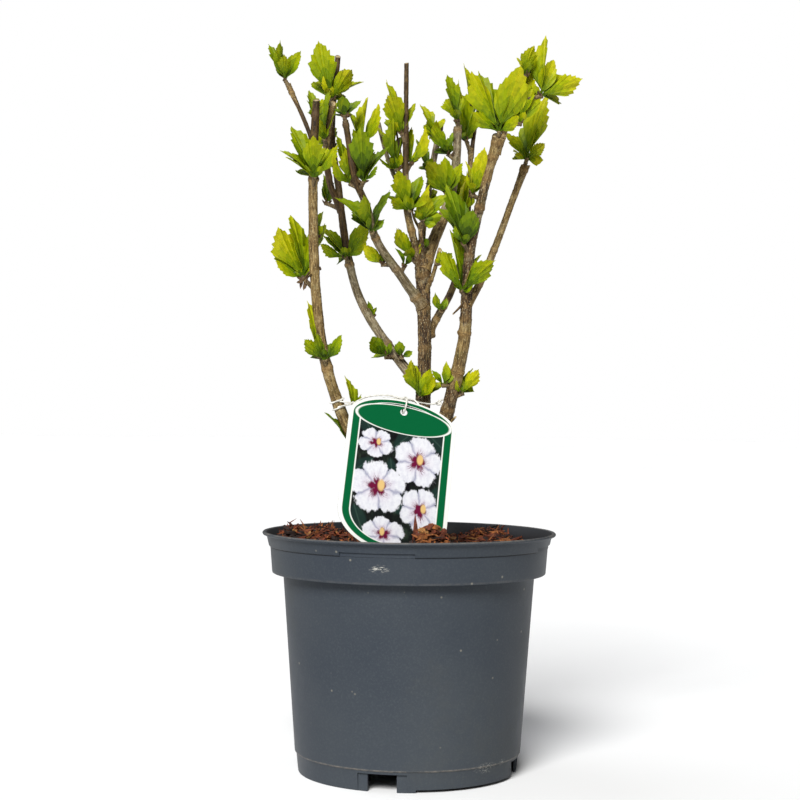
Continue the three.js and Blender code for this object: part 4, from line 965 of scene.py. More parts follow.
def grown_limb(name, barks, draw):
    """A limb in its bark, with a collar where it leaves its parent and a slanted pruning cut at its tip.

    Returns its points, faces and slots, and for each point its place round and along the limb and its share
    of a ring."""
    points, shares = ROUTES[name]
    length = LENGTHS[name]
    heights = points[:, 2]
    bark_at = [[bark for bark, low in barks if height >= low][-1] for height in heights]
    sides = STEM_SIDES if limb_radius(name, 0) > TWIG_RADIUS else TWIG_SIDES
    if name == "trunk":
        sides = TRUNK_SIDES
    scars = []
    for height, swell in RINGS.get(name, []):
        at = float(np.interp(height, heights, shares)) * length
        scars.append((at, swell, draw.uniform(0, 2 * math.pi)))
    shift = draw.uniform(0, 400)

    def ring_share(run):
        """How much a place belongs to a ring: 1 in its middle."""
        return sum(math.exp(-(((run - at) / SKIN_REACH) ** 2)) * min(1, swell * 5) for at, swell, _ in scars)

    def radius_at(station, angle):
        """The bark's own surface: the plain limb with its fissures, lumps, grit and rings."""
        run = shares[station] * length
        relief = RELIEF[bark_at[station]]
        plain = limb_radius(name, shares[station])
        if name == "trunk":
            middle, spread, waist = TRUNK_WAIST
            plain *= 1 - waist * math.exp(-(((heights[station] - middle) / spread) ** 2))
        else:
            plain *= 1 + COLLAR_SWELL * math.exp(-run / COLLAR_REACH)
        x, y = plain * math.cos(angle), plain * math.sin(angle)
        scales = (FISSURES, LUMPS, GRIT)
        places = [Vector((x * around, y * around, run * along + shift)) for around, along in scales]
        fissure = 1 - abs(noise.fractal(places[0], 1.0, 2.2, 3)) * 3
        lump = noise.noise(places[1])
        grit = noise.noise(places[2])
        radius = plain * (1 + 0.1 * lump) - relief * max(0, fissure) ** 2 + relief * 0.6 * grit
        for at, swell, facing in scars:
            away = run - at - 0.5 * math.sin(angle + facing)
            if abs(away) < RING_ENDS:
                knob = 0.5 + 0.9 * max(0, math.cos(angle - facing)) ** 3
                radius += plain * swell * knob * math.exp(-((away / SWELLING_REACH) ** 2))
                for crease in CREASES:
                    worn = math.exp(-(((away - crease) / CREASE_REACH) ** 2))
                    radius -= CREASE_DEPTH * min(1, swell * 5) * worn
        return radius

    body, faces = sweep(points, radius_at, sides)
    slots = [bark_at[0]] * sides
    for station in range(len(points) - 1):
        for i in range(sides):
            turn = 2 * math.pi * i / sides
            around = Vector((1.6 * math.cos(turn), 1.6 * math.sin(turn), heights[station] * 0.11))
            ragged = heights[station] + BORDER_WANDER * noise.noise(around)
            slots.append([bark for bark, low in barks if ragged >= low or low == 0][-1])

    # The last ring is slanted, and a rim and a sunk middle of cut wood close it.
    outer = 1 + (len(points) - 1) * sides
    along = points[-1] - points[-2]
    along /= np.linalg.norm(along)
    slope = np.array([draw.uniform(-0.4, 0.4), draw.uniform(0.4, 0.9), 0.0])
    ring = body[outer : outer + sides]
    ring += np.outer((ring - points[-1]) @ slope, along)
    rim = points[-1] + (ring - points[-1]) * CUT_SHARE - along * 0.1
    body = np.vstack([body[:-1], rim, points[-1] - along * CUT_SINK])
    faces = faces[:-sides]
    first = outer + sides
    for i in range(sides):
        j = (i + 1) % sides
        faces += [(outer + i, outer + j, first + j, first + i), (first + i, first + j, len(body) - 1)]
        slots += [bark_at[-1], CUT]

    turn = np.arange(sides) * 2 * math.pi / sides
    grown, ringed = [[0, 0, shift]], [0]
    for share in list(shares) + [1.0]:
        plain, run = limb_radius(name, share), share * length
        round_limb = [plain * np.cos(turn), plain * np.sin(turn), np.full(sides, run + shift)]
        grown += np.stack(round_limb, axis=1).tolist()
        collar = 0.7 * math.exp(-run / 4) if name != "trunk" else 0
        ringed += [min(1, ring_share(run) + collar)] * sides
    grown.append([0, 0, length + shift])
    ringed.append(0)
    return body, faces, slots, grown, ringed


# Each bark: its middle, pale, dark and freckle colours, how strong its freckles are and how deep its cracks.
BARKS = {
    "fissured_trunk_bark": ("#564026", "#937950", "#160D08", "#B3A784", 0.9, 1.0),
    "tan_stem_bark": ("#735C35", "#A58C59", "#33240D", "#BBA97C", 0.7, 0.7),
    "silvery_stem_bark": ("#62553C", "#95876A", "#2C2312", "#AAA087", 0.6, 0.45),
    "dark_twig_bark": ("#3A2A15", "#5A4324", "#170E06", "#776039", 0.3, 0.4),
}
bark_materials = []
for name, (middle, pale, dark, freckle, freckled, crack) in BARKS.items():
    # Living bark: dull, streaked along the limb, freckled with lenticels about a millimetre long, darker in
    # its cracks, tan on its swollen rings, with a grey bloom and a green film of algae in places. Its places
    # are millimetres round and along the limb.
    trunk_bark, twig_bark = "trunk" in name, "twig" in name
    dullness = 0.72 if trunk_bark else 0.6
    material, tree, shader = new_material(name, Roughness=dullness, Specular_IOR_Level=0.25)
    place = add_node(tree, "Attribute", output="Vector", attribute_name="grown")
    ringed = add_node(tree, "Attribute", output="Fac", attribute_name="ringed")
    stretched = add_node(tree, "Mapping", {"Vector": place, "Scale": (1, 1, 0.16)}, 0)
    values = {"Vector": stretched, "Scale": 0.75, "Detail": 8.0, "Roughness": 0.7}
    streak = add_node(tree, "TexNoise", values, "Fac")
    colour = add_node(tree, "ValToRGB", [streak], "Color", [(0.36, dark), (0.49, middle), (0.64, pale)])
    values = {"Vector": place, "Scale": 0.16, "Detail": 4.0, "Roughness": 0.6}
    blotch = add_node(tree, "TexNoise", values, "Fac")
    bloom = add_node(tree, "ValToRGB", [blotch], "Color", [(0.52, 0.0), (0.68, 0.45)])
    flecked = add_node(tree, "Mapping", {"Vector": place, "Scale": (1, 1, 0.55)}, 0)
    dots = add_node(tree, "TexVoronoi", {"Vector": flecked, "Scale": 0.8}, "Distance")
    lenticel = add_node(tree, "ValToRGB", [dots], "Color", [(0.18, freckled), (0.28, 0.0)])
    # Cracks: long dark slits between plates of bark, deep on the trunk and fine on the stems.
    plates = add_node(tree, "Mapping", {"Vector": place, "Scale": (0.62, 0.62, 0.14)}, 0)
    wander = add_node(tree, "TexNoise", {"Vector": place, "Scale": 0.5, "Detail": 3.0}, "Color")
    wandered = add_node(tree, "VectorMath", (plates, wander), 0, operation="ADD")
    values = {"Vector": wandered, "Scale": 0.9}
    edges = add_node(tree, "TexVoronoi", values, "Distance", feature="DISTANCE_TO_EDGE")
    slit = add_node(tree, "ValToRGB", [edges], "Color", [(0.02, 1.3 * crack - 0.5), (0.1, 0.0)])
    patch = add_node(tree, "TexNoise", {"Vector": place, "Scale": 0.05, "Detail": 3.0}, "Fac")
    algae = add_node(tree, "ValToRGB", [patch], "Color", [(0.54, 0.0), (0.72, 0.28)])
    knuckle = add_node(tree, "Math", (ringed, 0.6), 0, operation="MULTIPLY")
    squashed = add_node(tree, "Mapping", {"Vector": place, "Scale": (0.3, 0.3, 1.6)}, 0)
    wrinkles = add_node(tree, "TexNoise", {"Vector": squashed, "Scale": 1.1, "Detail": 5.0}, "Fac")
    wrinkle = add_node(tree, "ValToRGB", [wrinkles], "Color", [(0.36, 0.85), (0.5, 0.0)])
    ring_wrinkle = add_node(tree, "Math", (wrinkle, ringed), 0, operation="MULTIPLY")
    layers = [
        (bloom, freckle), (lenticel, freckle), (slit, dark), (algae, "#54561F"),
        (knuckle, "#6B5438" if twig_bark else "#8F7041"), (ring_wrinkle, dark),
    ]
    for share, over in layers:
        colour = add_node(tree, "Mix", {0: share, 6: colour, 7: over}, 2, data_type="RGBA")
    tree.links.new(colour, shader.inputs["Base Color"])
    bump = add_node(tree, "Bump", {"Height": streak, "Strength": crack, "Distance": 1.2 * MM}, 0)
    tree.links.new(bump, shader.inputs["Normal"])
    bark_materials.append(material)

# Cut wood: pale and dull, weathered to grey-tan.
cut_tones = [(0.35, "#8A7753"), (0.65, "#BFAA80")]
bark_materials.append(grained_material("pale_cut_wood", (700, 3, 0.5), cut_tones, Roughness=0.8))

draw = random.Random(5)
limb_parts, grown_places, ring_shares = [], [], []
for name, barks, _, _, _ in LIMBS + FINE_TWIGS:
    body, faces, slots, grown, ringed = grown_limb(name, barks, draw)
    limb_parts.append((body, faces, slots))
    grown_places += grown
    ring_shares += ringed
wood = joined_mesh("trunk_and_stems", limb_parts, bark_materials)
grown_attribute = wood.data.attributes.new("grown", "FLOAT_VECTOR", "POINT")
grown_attribute.data.foreach_set("vector", np.array(grown_places).ravel())
wood.data.attributes.new("ringed", "FLOAT", "POINT").data.foreach_set("value", ring_shares)
soften_shading(wood, 50)
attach(wood, "root")
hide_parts(*[limb[0] for limb in LIMBS])


# The leaves: young foliage that breaks in tufts from short spurs on last year's wood. Each leaf is a wedge
# with coarse teeth towards its point, folded up along its midrib and pleated along its veins. It is deep
# green at its foot and lime towards its edge and tip, where the newest growth is.
BUD_RADIUS = 2.6
BUD_CLEARANCE = 4.5
LEAF_SLIMNESS = 0.46
MIDRIB_TONE = 0.09
# Each tuft: name, its limb and where on it, the step out to its bud, how many further leaves grow on its far
# side, its tone, and its leaves: lean to the right, reach, breadth as seen and lean forwards.
TUFTS = [
    ("left_stem_tip_leaves", "left_stem", 0.95, (-1, 6, 4), 1, 0.0, [(-7, 25, 9, -20), (20, 22, 5, -35)]),
    ("left_stem_upper_leaves", "left_stem", 0.8, (1, -6, 7), 2, -0.06,
     [(-2, 33, 19, 25), (-20, 49, 19, -14), (-42, 33, 5, -5), (-46, 26, 4, 8), (37, 31, 10, 12),
      (18, 30, 11, -18)]),
    ("left_stem_middle_leaves", "left_stem", 0.57, (-10, 7, 10), 3, 0.1,
     [(-29, 43, 24, 10), (-4, 49, 9, 5), (5, 27, 12, -8), (-63, 26, 5, 20), (20, 49, 14, -20),
      (-45, 35, 13, -10)]),
    ("left_stem_lower_leaves", "left_stem", 0.39, (-1, -6, 5), 2, -0.2,
     [(-46, 24, 12, 20), (33, 24, 9, 10), (-20, 22, 8, 12)]),
    ("left_stem_foot_leaves", "left_stem", 0.24, (5, 4, 6), 1, 0.0, [(-10, 35, 7, 5), (6, 22, 4, -15)]),
    ("left_twig_leaves", "left_side_twig", 0.96, (-3, 0, 5), 2, -0.05,
     [(-23, 32, 9, -6), (-15, 29, 7, 12), (-2, 21, 11, 30), (29, 25, 11, 8)]),
    ("inner_left_top_leaves", "inner_left_stem", 0.85, (-1, -5, 8), 3, 0.1,
     [(-16, 47, 24, 8), (36, 31, 15, 22), (53, 28, 8, 0), (8, 32, 9, -25), (-22, 19, 5, 15),
      (22, 28, 12, -10)]),
    ("inner_left_middle_leaves", "inner_left_stem", 0.41, (-3, -5, 5), 2, -0.05,
     [(-68, 24, 9, 15), (-31, 33, 8, 0), (-42, 28, 7, -15), (34, 36, 14, 8), (50, 25, 9, 20)]),
    ("inner_left_lower_leaves", "inner_left_stem", 0.11, (-8, -5, 0), 1, -0.1, [(-42, 24, 13, 30)]),
    ("inner_left_bud", "inner_left_stem", 0.22, (-1.5, 3, 5.5), 0, -0.1, [(-15, 13, 5, 0), (10, 8, 3, -20)]),
    ("inner_left_fork_leaves", "inner_left_stem", 0.57, (-12, 4, 5), 1, -0.2,
     [(0, 23, 8, 0), (15, 20, 4, -20)]),
    ("inner_left_branch_leaves", "inner_left_branch", 0.61, (-1, -5, 4), 1, 0.0,
     [(2, 40, 7, 5), (-15, 17, 6, 20), (12, 38, 8, -10)]),
    ("mid_left_upper_leaves", "mid_left_stem", 0.67, (3, -5, 5), 1, -0.25,
     [(-3, 42, 20, 22), (30, 34, 5, -10), (43, 17, 4, 20), (15, 30, 8, -30)]),
    ("mid_left_shoot_leaves", "mid_left_stem", 0.85, (8, 4, 5), 2, 0.05,
     [(7, 38, 9, 0), (-15, 33, 7, -18), (27, 35, 10, 12), (-15, 20, 4, -40)]),
    ("mid_left_top_leaves", "mid_left_stem", 0.98, (-1, -2, 5), 1, -0.1,
     [(-4, 16, 11, 30), (38, 17, 6, 0), (-45, 13, 5, -30)]),
    ("mid_left_bend_leaves", "mid_left_stem", 0.42, (-2, -6, 3), 2, -0.15,
     [(-37, 38, 11, 8), (-15, 32, 11, 28), (13, 37, 6, -10)]),
    ("mid_left_lower_leaf", "mid_left_stem", 0.26, (-8, 0, 0), 0, 0.15, [(-47, 21, 11, 10)]),
    ("mid_left_spur_leaves", "mid_left_stem", 0.68, (-6, 4, 3), 1, -0.05,
     [(-17, 39, 9, 0), (-10, 28, 10, 20), (-38, 27, 7, 30), (8, 32, 8, -15)]),
    ("centre_lower_leaves", "centre_stem", 0.26, (1, -6, 3), 2, 0.0,
     [(-17, 34, 17, 20), (15, 30, 10, -5), (-62, 21, 10, 30), (-55, 22, 3, 0), (40, 25, 6, 10)]),
    ("centre_top_leaves", "centre_stem", 0.61, (-3, -1, 7), 2, 0.05,
     [(-19, 33, 18, 20), (-16, 45, 10, -8), (-4, 37, 12, -20), (19, 30, 7, -20)]),
    ("centre_left_leaves", "centre_stem", 0.44, (-7, 2, 7), 1, 0.0,
     [(-10, 39, 10, 10), (-15, 43, 8, -15), (-60, 18, 3, 25), (6, 40, 9, -25)]),
    ("centre_right_leaves", "centre_stem", 0.47, (4, 3, 7), 1, 0.15, [(2, 32, 8, -20), (26, 30, 10, 10)]),
    ("dead_stub_leaves", "dead_stub", 0.94, (1, -4, 4), 1, 0.05,
     [(14, 22, 13, 25), (36, 29, 11, 0), (-25, 14, 4, 15), (75, 16, 10, 10), (110, 11, 8, 15)]),
    ("back_right_leaves", "back_right_stem", 0.77, (-5, 1, 4), 2, -0.15,
     [(-29, 27, 13, 10), (12, 23, 5, -20)]),
    ("back_centre_top_leaves", "back_centre_stem", 0.88, (-1, -3, 4), 3, 0.1,
     [(-22, 28, 10, 0), (22, 18, 6, -15), (-74, 11, 5, 20)]),
    ("back_centre_leaf", "back_centre_stem", 0.64, (-1, 1, 6), 1, -0.05, [(-24, 27, 8, 0)]),
    ("trunk_front_leaves", "trunk", 0.49, (-2, -9, 7), 0, 0.05,
     [(-20, 32, 13, 15), (-15, 28, 8, -5), (20, 24, 11, 15), (35, 23, 4, 30), (55, 23, 7, 0)]),
    ("trunk_fork_leaves", "trunk", 0.96, (-8, -3, 8), 1, 0.12, [(-29, 27, 13, 15), (-15, 30, 5, -25)]),
    ("right_stem_foot_leaves", "right_stem", 0.325, (7, -2, 3), 2, 0.1, [(33, 23, 12, 10), (12, 24, 6, -25)]),
    ("right_stem_middle_leaves", "right_stem", 0.58, (-4, -7, 7), 0, -0.09,
     [(-28, 36, 15, 18), (-9, 47, 10, 0), (43, 35, 17, 14), (70, 12, 4, 40), (21, 33, 7, -12)]),
    ("right_stem_upper_leaves", "right_stem", 0.7, (-4, -6, 6), 1, -0.2,
     [(13, 29, 16, 28), (-27, 17, 7, 15), (-12, 47, 17, 6), (-22, 40, 10, -20)]),
    ("right_stem_side_leaves", "right_stem", 0.84, (-6, 3, 3), 1, 0.15, [(15, 36, 15, 10), (-5, 28, 5, -15)]),
    ("right_stem_top_leaves", "right_stem", 0.98, (1, -2, 6), 2, 0.05,
     [(-24, 50, 20, 14), (17, 52, 24, 12), (-57, 27, 12, 22), (54, 21, 9, 30), (12, 57, 13, -10),
      (-16, 50, 14, -15)]),
    ("right_outer_top_leaves", "right_outer_twig", 0.97, (2, 0, 7), 3, 0.2,
     [(13, 52, 21, 6), (-34, 27, 11, 5), (47, 19, 10, 20), (92, 13, 9, 25), (-65, 11, 5, 15),
      (8, 42, 12, -14)]),
    ("right_top_side_leaves", "right_top_twig", 0.66, (20, -7, 2), 1, 0.15,
     [(68, 33, 17, 15), (16, 29, 14, 0), (5, 45, 9, -6), (40, 25, 10, -8)]),
    ("right_top_leaves", "right_top_twig", 0.88, (5, -3, 4), 2, 0.1,
     [(7, 23, 13, 12), (12, 22, 6, -25), (-12, 18, 5, -20)]),
    ("inner_right_lower_leaves", "inner_right_stem", 0.15, (2, -5, 3), 0, 0.0,
     [(-20, 16, 7, 15), (20, 10, 5, 0)]),
    ("inner_right_middle_leaves", "inner_right_stem", 0.66, (-3, -4, 5), 2, 0.1,
     [(-25, 43, 19, 15), (-4, 42, 14, -10), (6, 34, 9, 8), (-10, 32, 8, 30)]),
    ("inner_right_top_leaves", "inner_right_stem", 0.97, (-4, -2, 10), 2, -0.05,
     [(-7, 48, 12, 10), (-5, 42, 8, -4), (-3, 50, 9, -14), (20, 26, 10, 20), (-20, 26, 7, 18),
      (12, 54, 11, -12)]),
]
# Lesser tufts and single leaves on the same wood, between the ones above.
LESSER_TUFTS = [
    (None, "left_stem", 0.165, (-6, -2, 2), 0, -0.25, [(-26, 38, 6, 5)]),
    (None, "inner_left_stem", 0.1, (1, -4, 1), 0, -0.1, [(-10, 13, 9, 10), (60, 10, 6, -10)]),
    (None, "right_stem", 0.36, (-6, -4, 0), 0, 0.05, [(6, 18, 7, 10), (14, 12, 5, 0)]),
    (None, "trunk_shoot", 0.72, (2, -2, 0), 0, 0.2, [(44, 11, 7, 0), (-60, 6, 4, 10)]),
    (None, "right_top_twig", 0.38, (9, -4, -1), 0, 0.15,
     [(8, 40, 16, 0), (26, 31, 15, 8), (-12, 28, 9, -15)]),
    (None, "mid_left_stem", 0.2, (3, -3, 5), 0, -0.2, [(-20, 15, 4, 5)]),
    (None, "inner_left_stem", 0.72, (-4, 4, 4), 1, 0.0, [(-12, 28, 9, -15), (10, 26, 9, -30)]),
    (None, "back_centre_stem", 0.42, (3, 6, 3), 1, 0.05, [(10, 24, 9, -35)]),
    (None, "back_right_stem", 0.12, (-4, -6, 2), 0, -0.25, [(-30, 9, 6, 20), (25, 10, 6, 20), (5, 8, 5, 30)]),
    (None, "back_right_stem", 0.5, (-1, -6, 3), 1, 0.05,
     [(-30, 32, 17, 12), (-2, 30, 14, 5), (22, 28, 11, -5), (10, 28, 10, -30)]),
    (None, "inner_right_stem", 0.45, (4, 3, 4), 1, 0.05, [(12, 28, 10, -15), (-12, 26, 8, -5)]),
    (None, "back_right_stem", 0.97, (0, -2, 5), 1, 0.0,
     [(-14, 38, 12, 5), (-30, 12, 6, 10), (14, 20, 7, -10)]),
    (None, "left_stem", 0.68, (2, 6, 4), 0, 0.0, [(4, 26, 9, -30)]),
    (None, "back_dark_twig", 0.97, (-8, -1, 1), 0, 0.2, [(-5, 33, 7, 0)]),
    (None, "left_stem", 0.41, (-5, -5, 3), 0, 0.18, [(-4, 41, 9, 4)]),
]
# Dry bud scales that hang on below a tuft: lean, reach, breadth and forward lean.
DRY_HUSKS = {
    "left_stem_middle_leaves": [(-80, 6, 3, 10), (-120, 7, 3, 20), (-150, 8, 3, 0), (-178, 9, 3, 10)],
}
STALK_SHARE = 0.13
LEAF_THICK = 0.26
# Half of a leaf's outline from neck to tip: shares of half its breadth and of its blade's length. The plain
# lower part is a wedge in a lobed leaf and rounded in an oval one. The rest is cut into forward teeth.
LOBED_OUTLINE = [
    (0.11, 0.00), (0.29, 0.13), (0.55, 0.27), (0.80, 0.40), (0.94, 0.50), (0.89, 0.52), (1.00, 0.64),
    (0.74, 0.665), (0.70, 0.77), (0.51, 0.785), (0.47, 0.88), (0.28, 0.89), (0.20, 0.94), (0.08, 0.965),
]
OVAL_OUTLINE = [
    (0.11, 0.00), (0.42, 0.10), (0.76, 0.22), (0.95, 0.35), (1.00, 0.47), (0.93, 0.49), (0.96, 0.60),
    (0.84, 0.625), (0.80, 0.73), (0.64, 0.75), (0.57, 0.85), (0.38, 0.87), (0.26, 0.935), (0.08, 0.965),
]
OVAL_SHARE = 0.4
LEAF_RINGS = [0.26, 0.5, 0.76, 1.0]
# A leaf shorter than this, in millimetres, is drawn plainer.
LEAFLET_REACH = 17
LEAFLET_OUTLINE = [(0.15, 0.0), (0.7, 0.25), (1.0, 0.5), (0.86, 0.58), (0.66, 0.8), (0.36, 0.86)]
LEAFLET_RINGS = [0.5, 1.0]
# How leaves vary: the fold along the midrib, the curl back, the sway and the twist of the blade, the depth of
# the notch between lobes, the narrowing towards the tip, the tip's reach, and each tooth's breadth and shift.
FOLD, CURL, SWAY, TWIST = (0.15, 0.5), (-0.04, 0.22), (-0.05, 0.05), (-0.45, 0.45)
NOTCH, SLENDER, TIP_REACH = (0, 0.16), (0, 0.25), (1.0, 1.04)
TOOTH_BREADTH, TOOTH_SHIFT = (0.94, 1.06), (-0.015, 0.015)
# The height of the pleats along the veins and of the waves in the edge, as shares of the leaf's breadth.
PLEAT, EDGE_WAVE = 0.008, 0.035


def closed_sheet(points, faces, normal, thick):
    """A thin closed body from one sheet of faces: the sheet, its underside and the wall round its edge.

    Returns its points, its faces and how many of them, at the end, are the wall's."""
    count = len(points)
    lower = points - np.asarray(normal) * thick
    edges = {(a, b) for face in faces for a, b in zip(face, face[1:] + face[:1])}
    rim = [(a, b) for a, b in sorted(edges) if (b, a) not in edges]
    under = [tuple(count + i for i in reversed(face)) for face in faces]
    walls = [(b, a, count + a, count + b) for a, b in rim]
    return np.vstack([points, lower]), list(faces) + under + walls, len(walls)


def leaf_pose(lean, reach, breadth, forward):
    """A leaf's direction and face from its leans; one seen narrow is turned about its own length."""
    a, b = math.radians(lean), math.radians(forward)
    along = Vector((math.sin(a) * math.cos(b), -math.sin(b), math.cos(a) * math.cos(b)))
    face = (Vector((0, -1, 0)) + along * along.y).normalized()
    true_breadth = max(breadth, LEAF_SLIMNESS * reach)
    turn = math.acos(min(1, breadth / true_breadth)) * (-1 if lean > 0 else 1)
    cupped = -1 if forward > 8 else 1
    return along, Matrix.Rotation(turn, 3, along) @ face, reach, true_breadth, cupped


def grown_leaf(root, along, face, reach, breadth, cupped, tone, draw):
    """A leaf's points, faces and a colour slot for each face. It is cupped towards the twig beside it."""
    side = along.cross(face)
    small = reach < LEAFLET_REACH
    oval = breadth < 0.4 * reach or draw.random() < OVAL_SHARE
    half = LEAFLET_OUTLINE if small else OVAL_OUTLINE if oval else LOBED_OUTLINE
    rings = LEAFLET_RINGS if small else LEAF_RINGS
    fold, curl = draw.uniform(*FOLD) * cupped, draw.uniform(*CURL) * cupped
    sway, twist = draw.uniform(*SWAY), draw.uniform(*TWIST)
    pleat, wave = PLEAT * breadth, draw.uniform(0, 6.3)
    notch, slender = draw.uniform(*NOTCH), draw.uniform(*SLENDER)
    half = [(u * (1 - slender * max(0, v - 0.45)), v) for u, v in half]
    outline = [(-u, v) for u, v in half] + [(0, draw.uniform(*TIP_REACH))] + [(u, v) for u, v in half[::-1]]
    jitter = [(draw.uniform(*TOOTH_BREADTH), draw.uniform(*TOOTH_SHIFT)) for _ in outline]
    neck, blade = reach * STALK_SHARE, reach * (1 - STALK_SHARE)
    middle = len(half)

    def place(u, v, rise):
        """A point of the blade, folded up along its midrib, curled back and twisted towards its tip."""
        run = neck + blade * v
        x = u * breadth / 2
        z = rise + fold * abs(x) + 0.5 * fold * x * x / breadth - curl * reach * v * v
        turned = twist * v * v
        x, z = x * math.cos(turned) - z * math.sin(turned), z * math.cos(turned) + x * math.sin(turned)
        return tuple(root + along * run + side * (x + sway * reach * v * v) + face * z)

    points = [place(0, 0, 0)]
    for q in rings:
        for k, (u, v) in enumerate(outline):
            grow, shift = jitter[k]
            from_tip = abs(k - middle)
            if not small and not oval and from_tip in (5, 7):
                grow -= notch * (0.5 if from_tip == 5 else 1) * q * q
            ripple = pleat * (1 if k % 2 else -1) * math.sin(math.pi * min(1, q * 0.6 + 0.1))
            ripple += EDGE_WAVE * breadth * q * q * math.sin(1.3 * k + wave)
            points.append(place(u * q * grow, (v + shift) * q, ripple))
    rays, faces, slots = len(outline), [], []
    for ring, q in enumerate(rings):
        for k in range(rays - 1):
            a, b = 1 + ring * rays + k, 2 + ring * rays + k
            faces.append((0, b, a) if ring == 0 else (a - rays, b - rays, b, a))
            run = outline[k][1] * q
            value = 0.12 + tone + 0.64 * min(1, 0.4 * q + 0.75 * run) + 0.03 * math.sin(0.5 * k + wave)
            if not small and k in (middle - 1, middle):
                value += MIDRIB_TONE
            slots.append(int(max(0, min(len(GREENS) - 1, value * len(GREENS)))))
    points, faces, walls = closed_sheet(np.array(points), faces, face, LEAF_THICK)
    return points, faces, slots * 2 + [max(slots)] * walls


# Young leaf: thin, satin, a little translucent, each green a plain colour with a faint mottle.
GREENS = [
    "#2A3B03", "#374C03", "#455C03", "#566D03", "#677C03",
    "#778803", "#869302", "#959D03", "#A4A606", "#B3B010",
]
LEAF_SKIN = {
    "Roughness": 0.5, "Specular_IOR_Level": 0.14, "Subsurface_Weight": 0.1,
    "Subsurface_Radius": (0.6, 1.0, 0.1), "Subsurface_Scale": 1.2 * MM,
}
leaf_materials = []
for number, colour in enumerate(GREENS):
    tones = [(0.35, darker(colour, 0.9)), (0.6, colour)]
    green_name = f"young_leaf_green_{number + 1}"
    leaf_materials.append(grained_material(green_name, (260, 4, 0.5), tones, (0.2, 0.3), **LEAF_SKIN))


def source_draws(seed):
    """The source's own repeatable draws, so that the same further leaves grow here."""
    state = seed
    while True:
        state = (state * 1664525 + 1013904223) % 4294967296
        yield state / 4294967296


SPUR_SIDES, SPUR_STEP = 12, 0.6
STALK_SIDES, STALK_STEP, STALK_RADIUS, STALK_GREEN = 5, 1.5, 0.6, 2
HUSK_COUNT, HUSK_BREADTH, HUSK_DROP = 4, 2.2, 1.2
# A small leaf round a bud, drawn from these: lean, reach, breadth and forward lean.
SMALL_LEAVES = 3
SMALL_LEAF = ((-40, 40), (9, 15), (4, 7), (-50, 50))
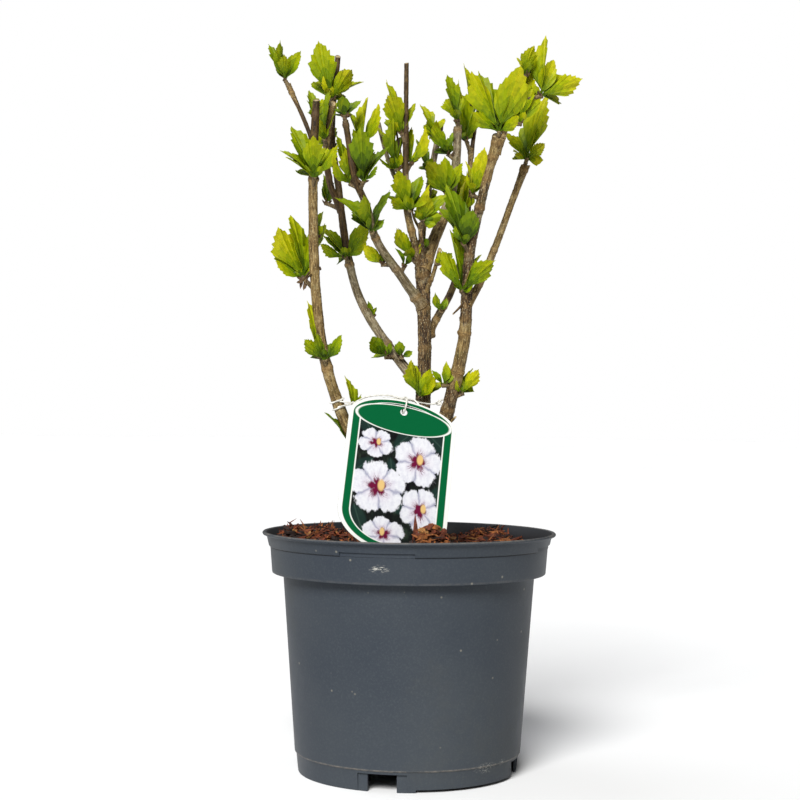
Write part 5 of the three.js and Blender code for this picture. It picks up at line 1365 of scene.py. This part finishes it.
# How a leaf's tone differs from its tuft's: by chance, when it is small, and by painted light on a leaf
# cupped forwards and painted shade on one cupped back.
TONE_SPREAD, SMALL_TONE, FORWARD_PAINTED_LIGHT, BACK_PAINTED_SHADE = 0.06, 0.16, 0.04, -0.06
draws = source_draws(1959)
draw = random.Random(29)
leaf_parts, spur_parts, scale_parts = [], [], []
for name, limb, at, out, more, tone, leaves in TUFTS + LESSER_TUFTS:
    # The spur: a short knobbly shoot from inside the limb to the bud.
    points, shares = ROUTES[limb]
    start = Vector([float(np.interp(at, shares, points[:, k])) for k in range(3)])
    step = Vector(out)
    step.length = max(step.length, limb_radius(limb, at) + BUD_CLEARANCE)
    bud, outwards = start + step, step.normalized()
    spur, _ = smooth_route([start, start + step * 0.5, bud + outwards * BUD_RADIUS / 2], SPUR_STEP)
    count, phase = len(spur) - 1, draw.uniform(0, 6)

    def spur_radius(station, angle):
        """The spur's radius: thick at its foot, swollen under the bud, with low rings and ribs."""
        share = station / count
        uneven = 1 + 0.09 * math.sin(2.1 * station + phase) + 0.07 * math.sin(3 * angle + phase)
        return (2.3 - 1.4 * share + 0.9 * share**3) * uneven

    body, faces = sweep(spur, spur_radius, SPUR_SIDES)
    spur_parts.append((body, faces, 0))

    # The tuft's own leaves, the further ones on its far side, and small ones round the bud.
    wanted = [leaf_pose(*leaf) for leaf in leaves]
    for i in range(more):
        lean, reach, breadth, _ = leaves[i % len(leaves)]
        away = -25 - 45 * next(draws)
        lean += 24 * (next(draws) - 0.5)
        wanted.append(leaf_pose(lean, reach * (0.6 + 0.25 * next(draws)), breadth + 3, away))
    for _ in range(SMALL_LEAVES if leaves[0][1] > LEAFLET_REACH else 1):
        wanted.append(leaf_pose(*[draw.uniform(low, high) for low, high in SMALL_LEAF]))
    for along, face, reach, breadth, cupped in wanted:
        own_tone = tone + draw.gauss(0, TONE_SPREAD) - (SMALL_TONE if reach < LEAFLET_REACH else 0)
        # Painted light on a leaf cupped forwards, painted shade on one cupped back.
        own_tone += FORWARD_PAINTED_LIGHT if cupped < 0 else BACK_PAINTED_SHADE
        leaf_parts.append(grown_leaf(bud + along * 0.4, along, face, reach, breadth, cupped, own_tone, draw))
        stalk_middle = bud + along * reach * STALK_SHARE * 0.6
        stalk_end = bud + along * (reach * STALK_SHARE + 1.5)
        stalk, _ = smooth_route([bud, stalk_middle, stalk_end], STALK_STEP)
        body, faces = sweep(stalk, lambda station, angle: STALK_RADIUS, STALK_SIDES)
        leaf_parts.append((body, faces, STALK_GREEN))

    # The dry bud scales that stay at the leaves' feet.
    husks = []
    for _ in range(HUSK_COUNT):
        husks.append((draw.uniform(-70, 70), draw.uniform(4, 6.5), HUSK_BREADTH, draw.uniform(-70, 70)))
    for husk in husks + DRY_HUSKS.get(name, []):
        along, face, reach, breadth, cupped = leaf_pose(*husk)
        foot = bud - outwards * HUSK_DROP
        points, faces, slots = grown_leaf(foot, along, face, reach, breadth, cupped, 0, draw)
        scale_parts.append((points, faces, 0))

foliage = joined_mesh("young_leaves", leaf_parts, leaf_materials)
soften_shading(foliage, 40)
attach(foliage, "root")
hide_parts(*[tuft[0] for tuft in TUFTS])

# Knobbly brown bark of the spurs, and the papery brown bud scales at the feet of the leaves.
spur_tones = [(0.34, "#33261A"), (0.52, "#655334"), (0.68, "#8A7A50")]
scale_tones = [(0.35, "#38251A"), (0.65, "#6B5230")]
spur_bark = grained_material("knobbly_spur_bark", (500, 5, 0.65), spur_tones, (0.6, 0.6), Roughness=0.75)
scale_skin = grained_material("papery_bud_scale", (500, 4, 0.5), scale_tones, Roughness=0.8)
spurs = joined_mesh("leaf_spurs", spur_parts, [spur_bark])
scales = joined_mesh("bud_scales", scale_parts, [scale_skin])
for piece in (spurs, scales):
    soften_shading(piece, 50)
    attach(piece, "root")
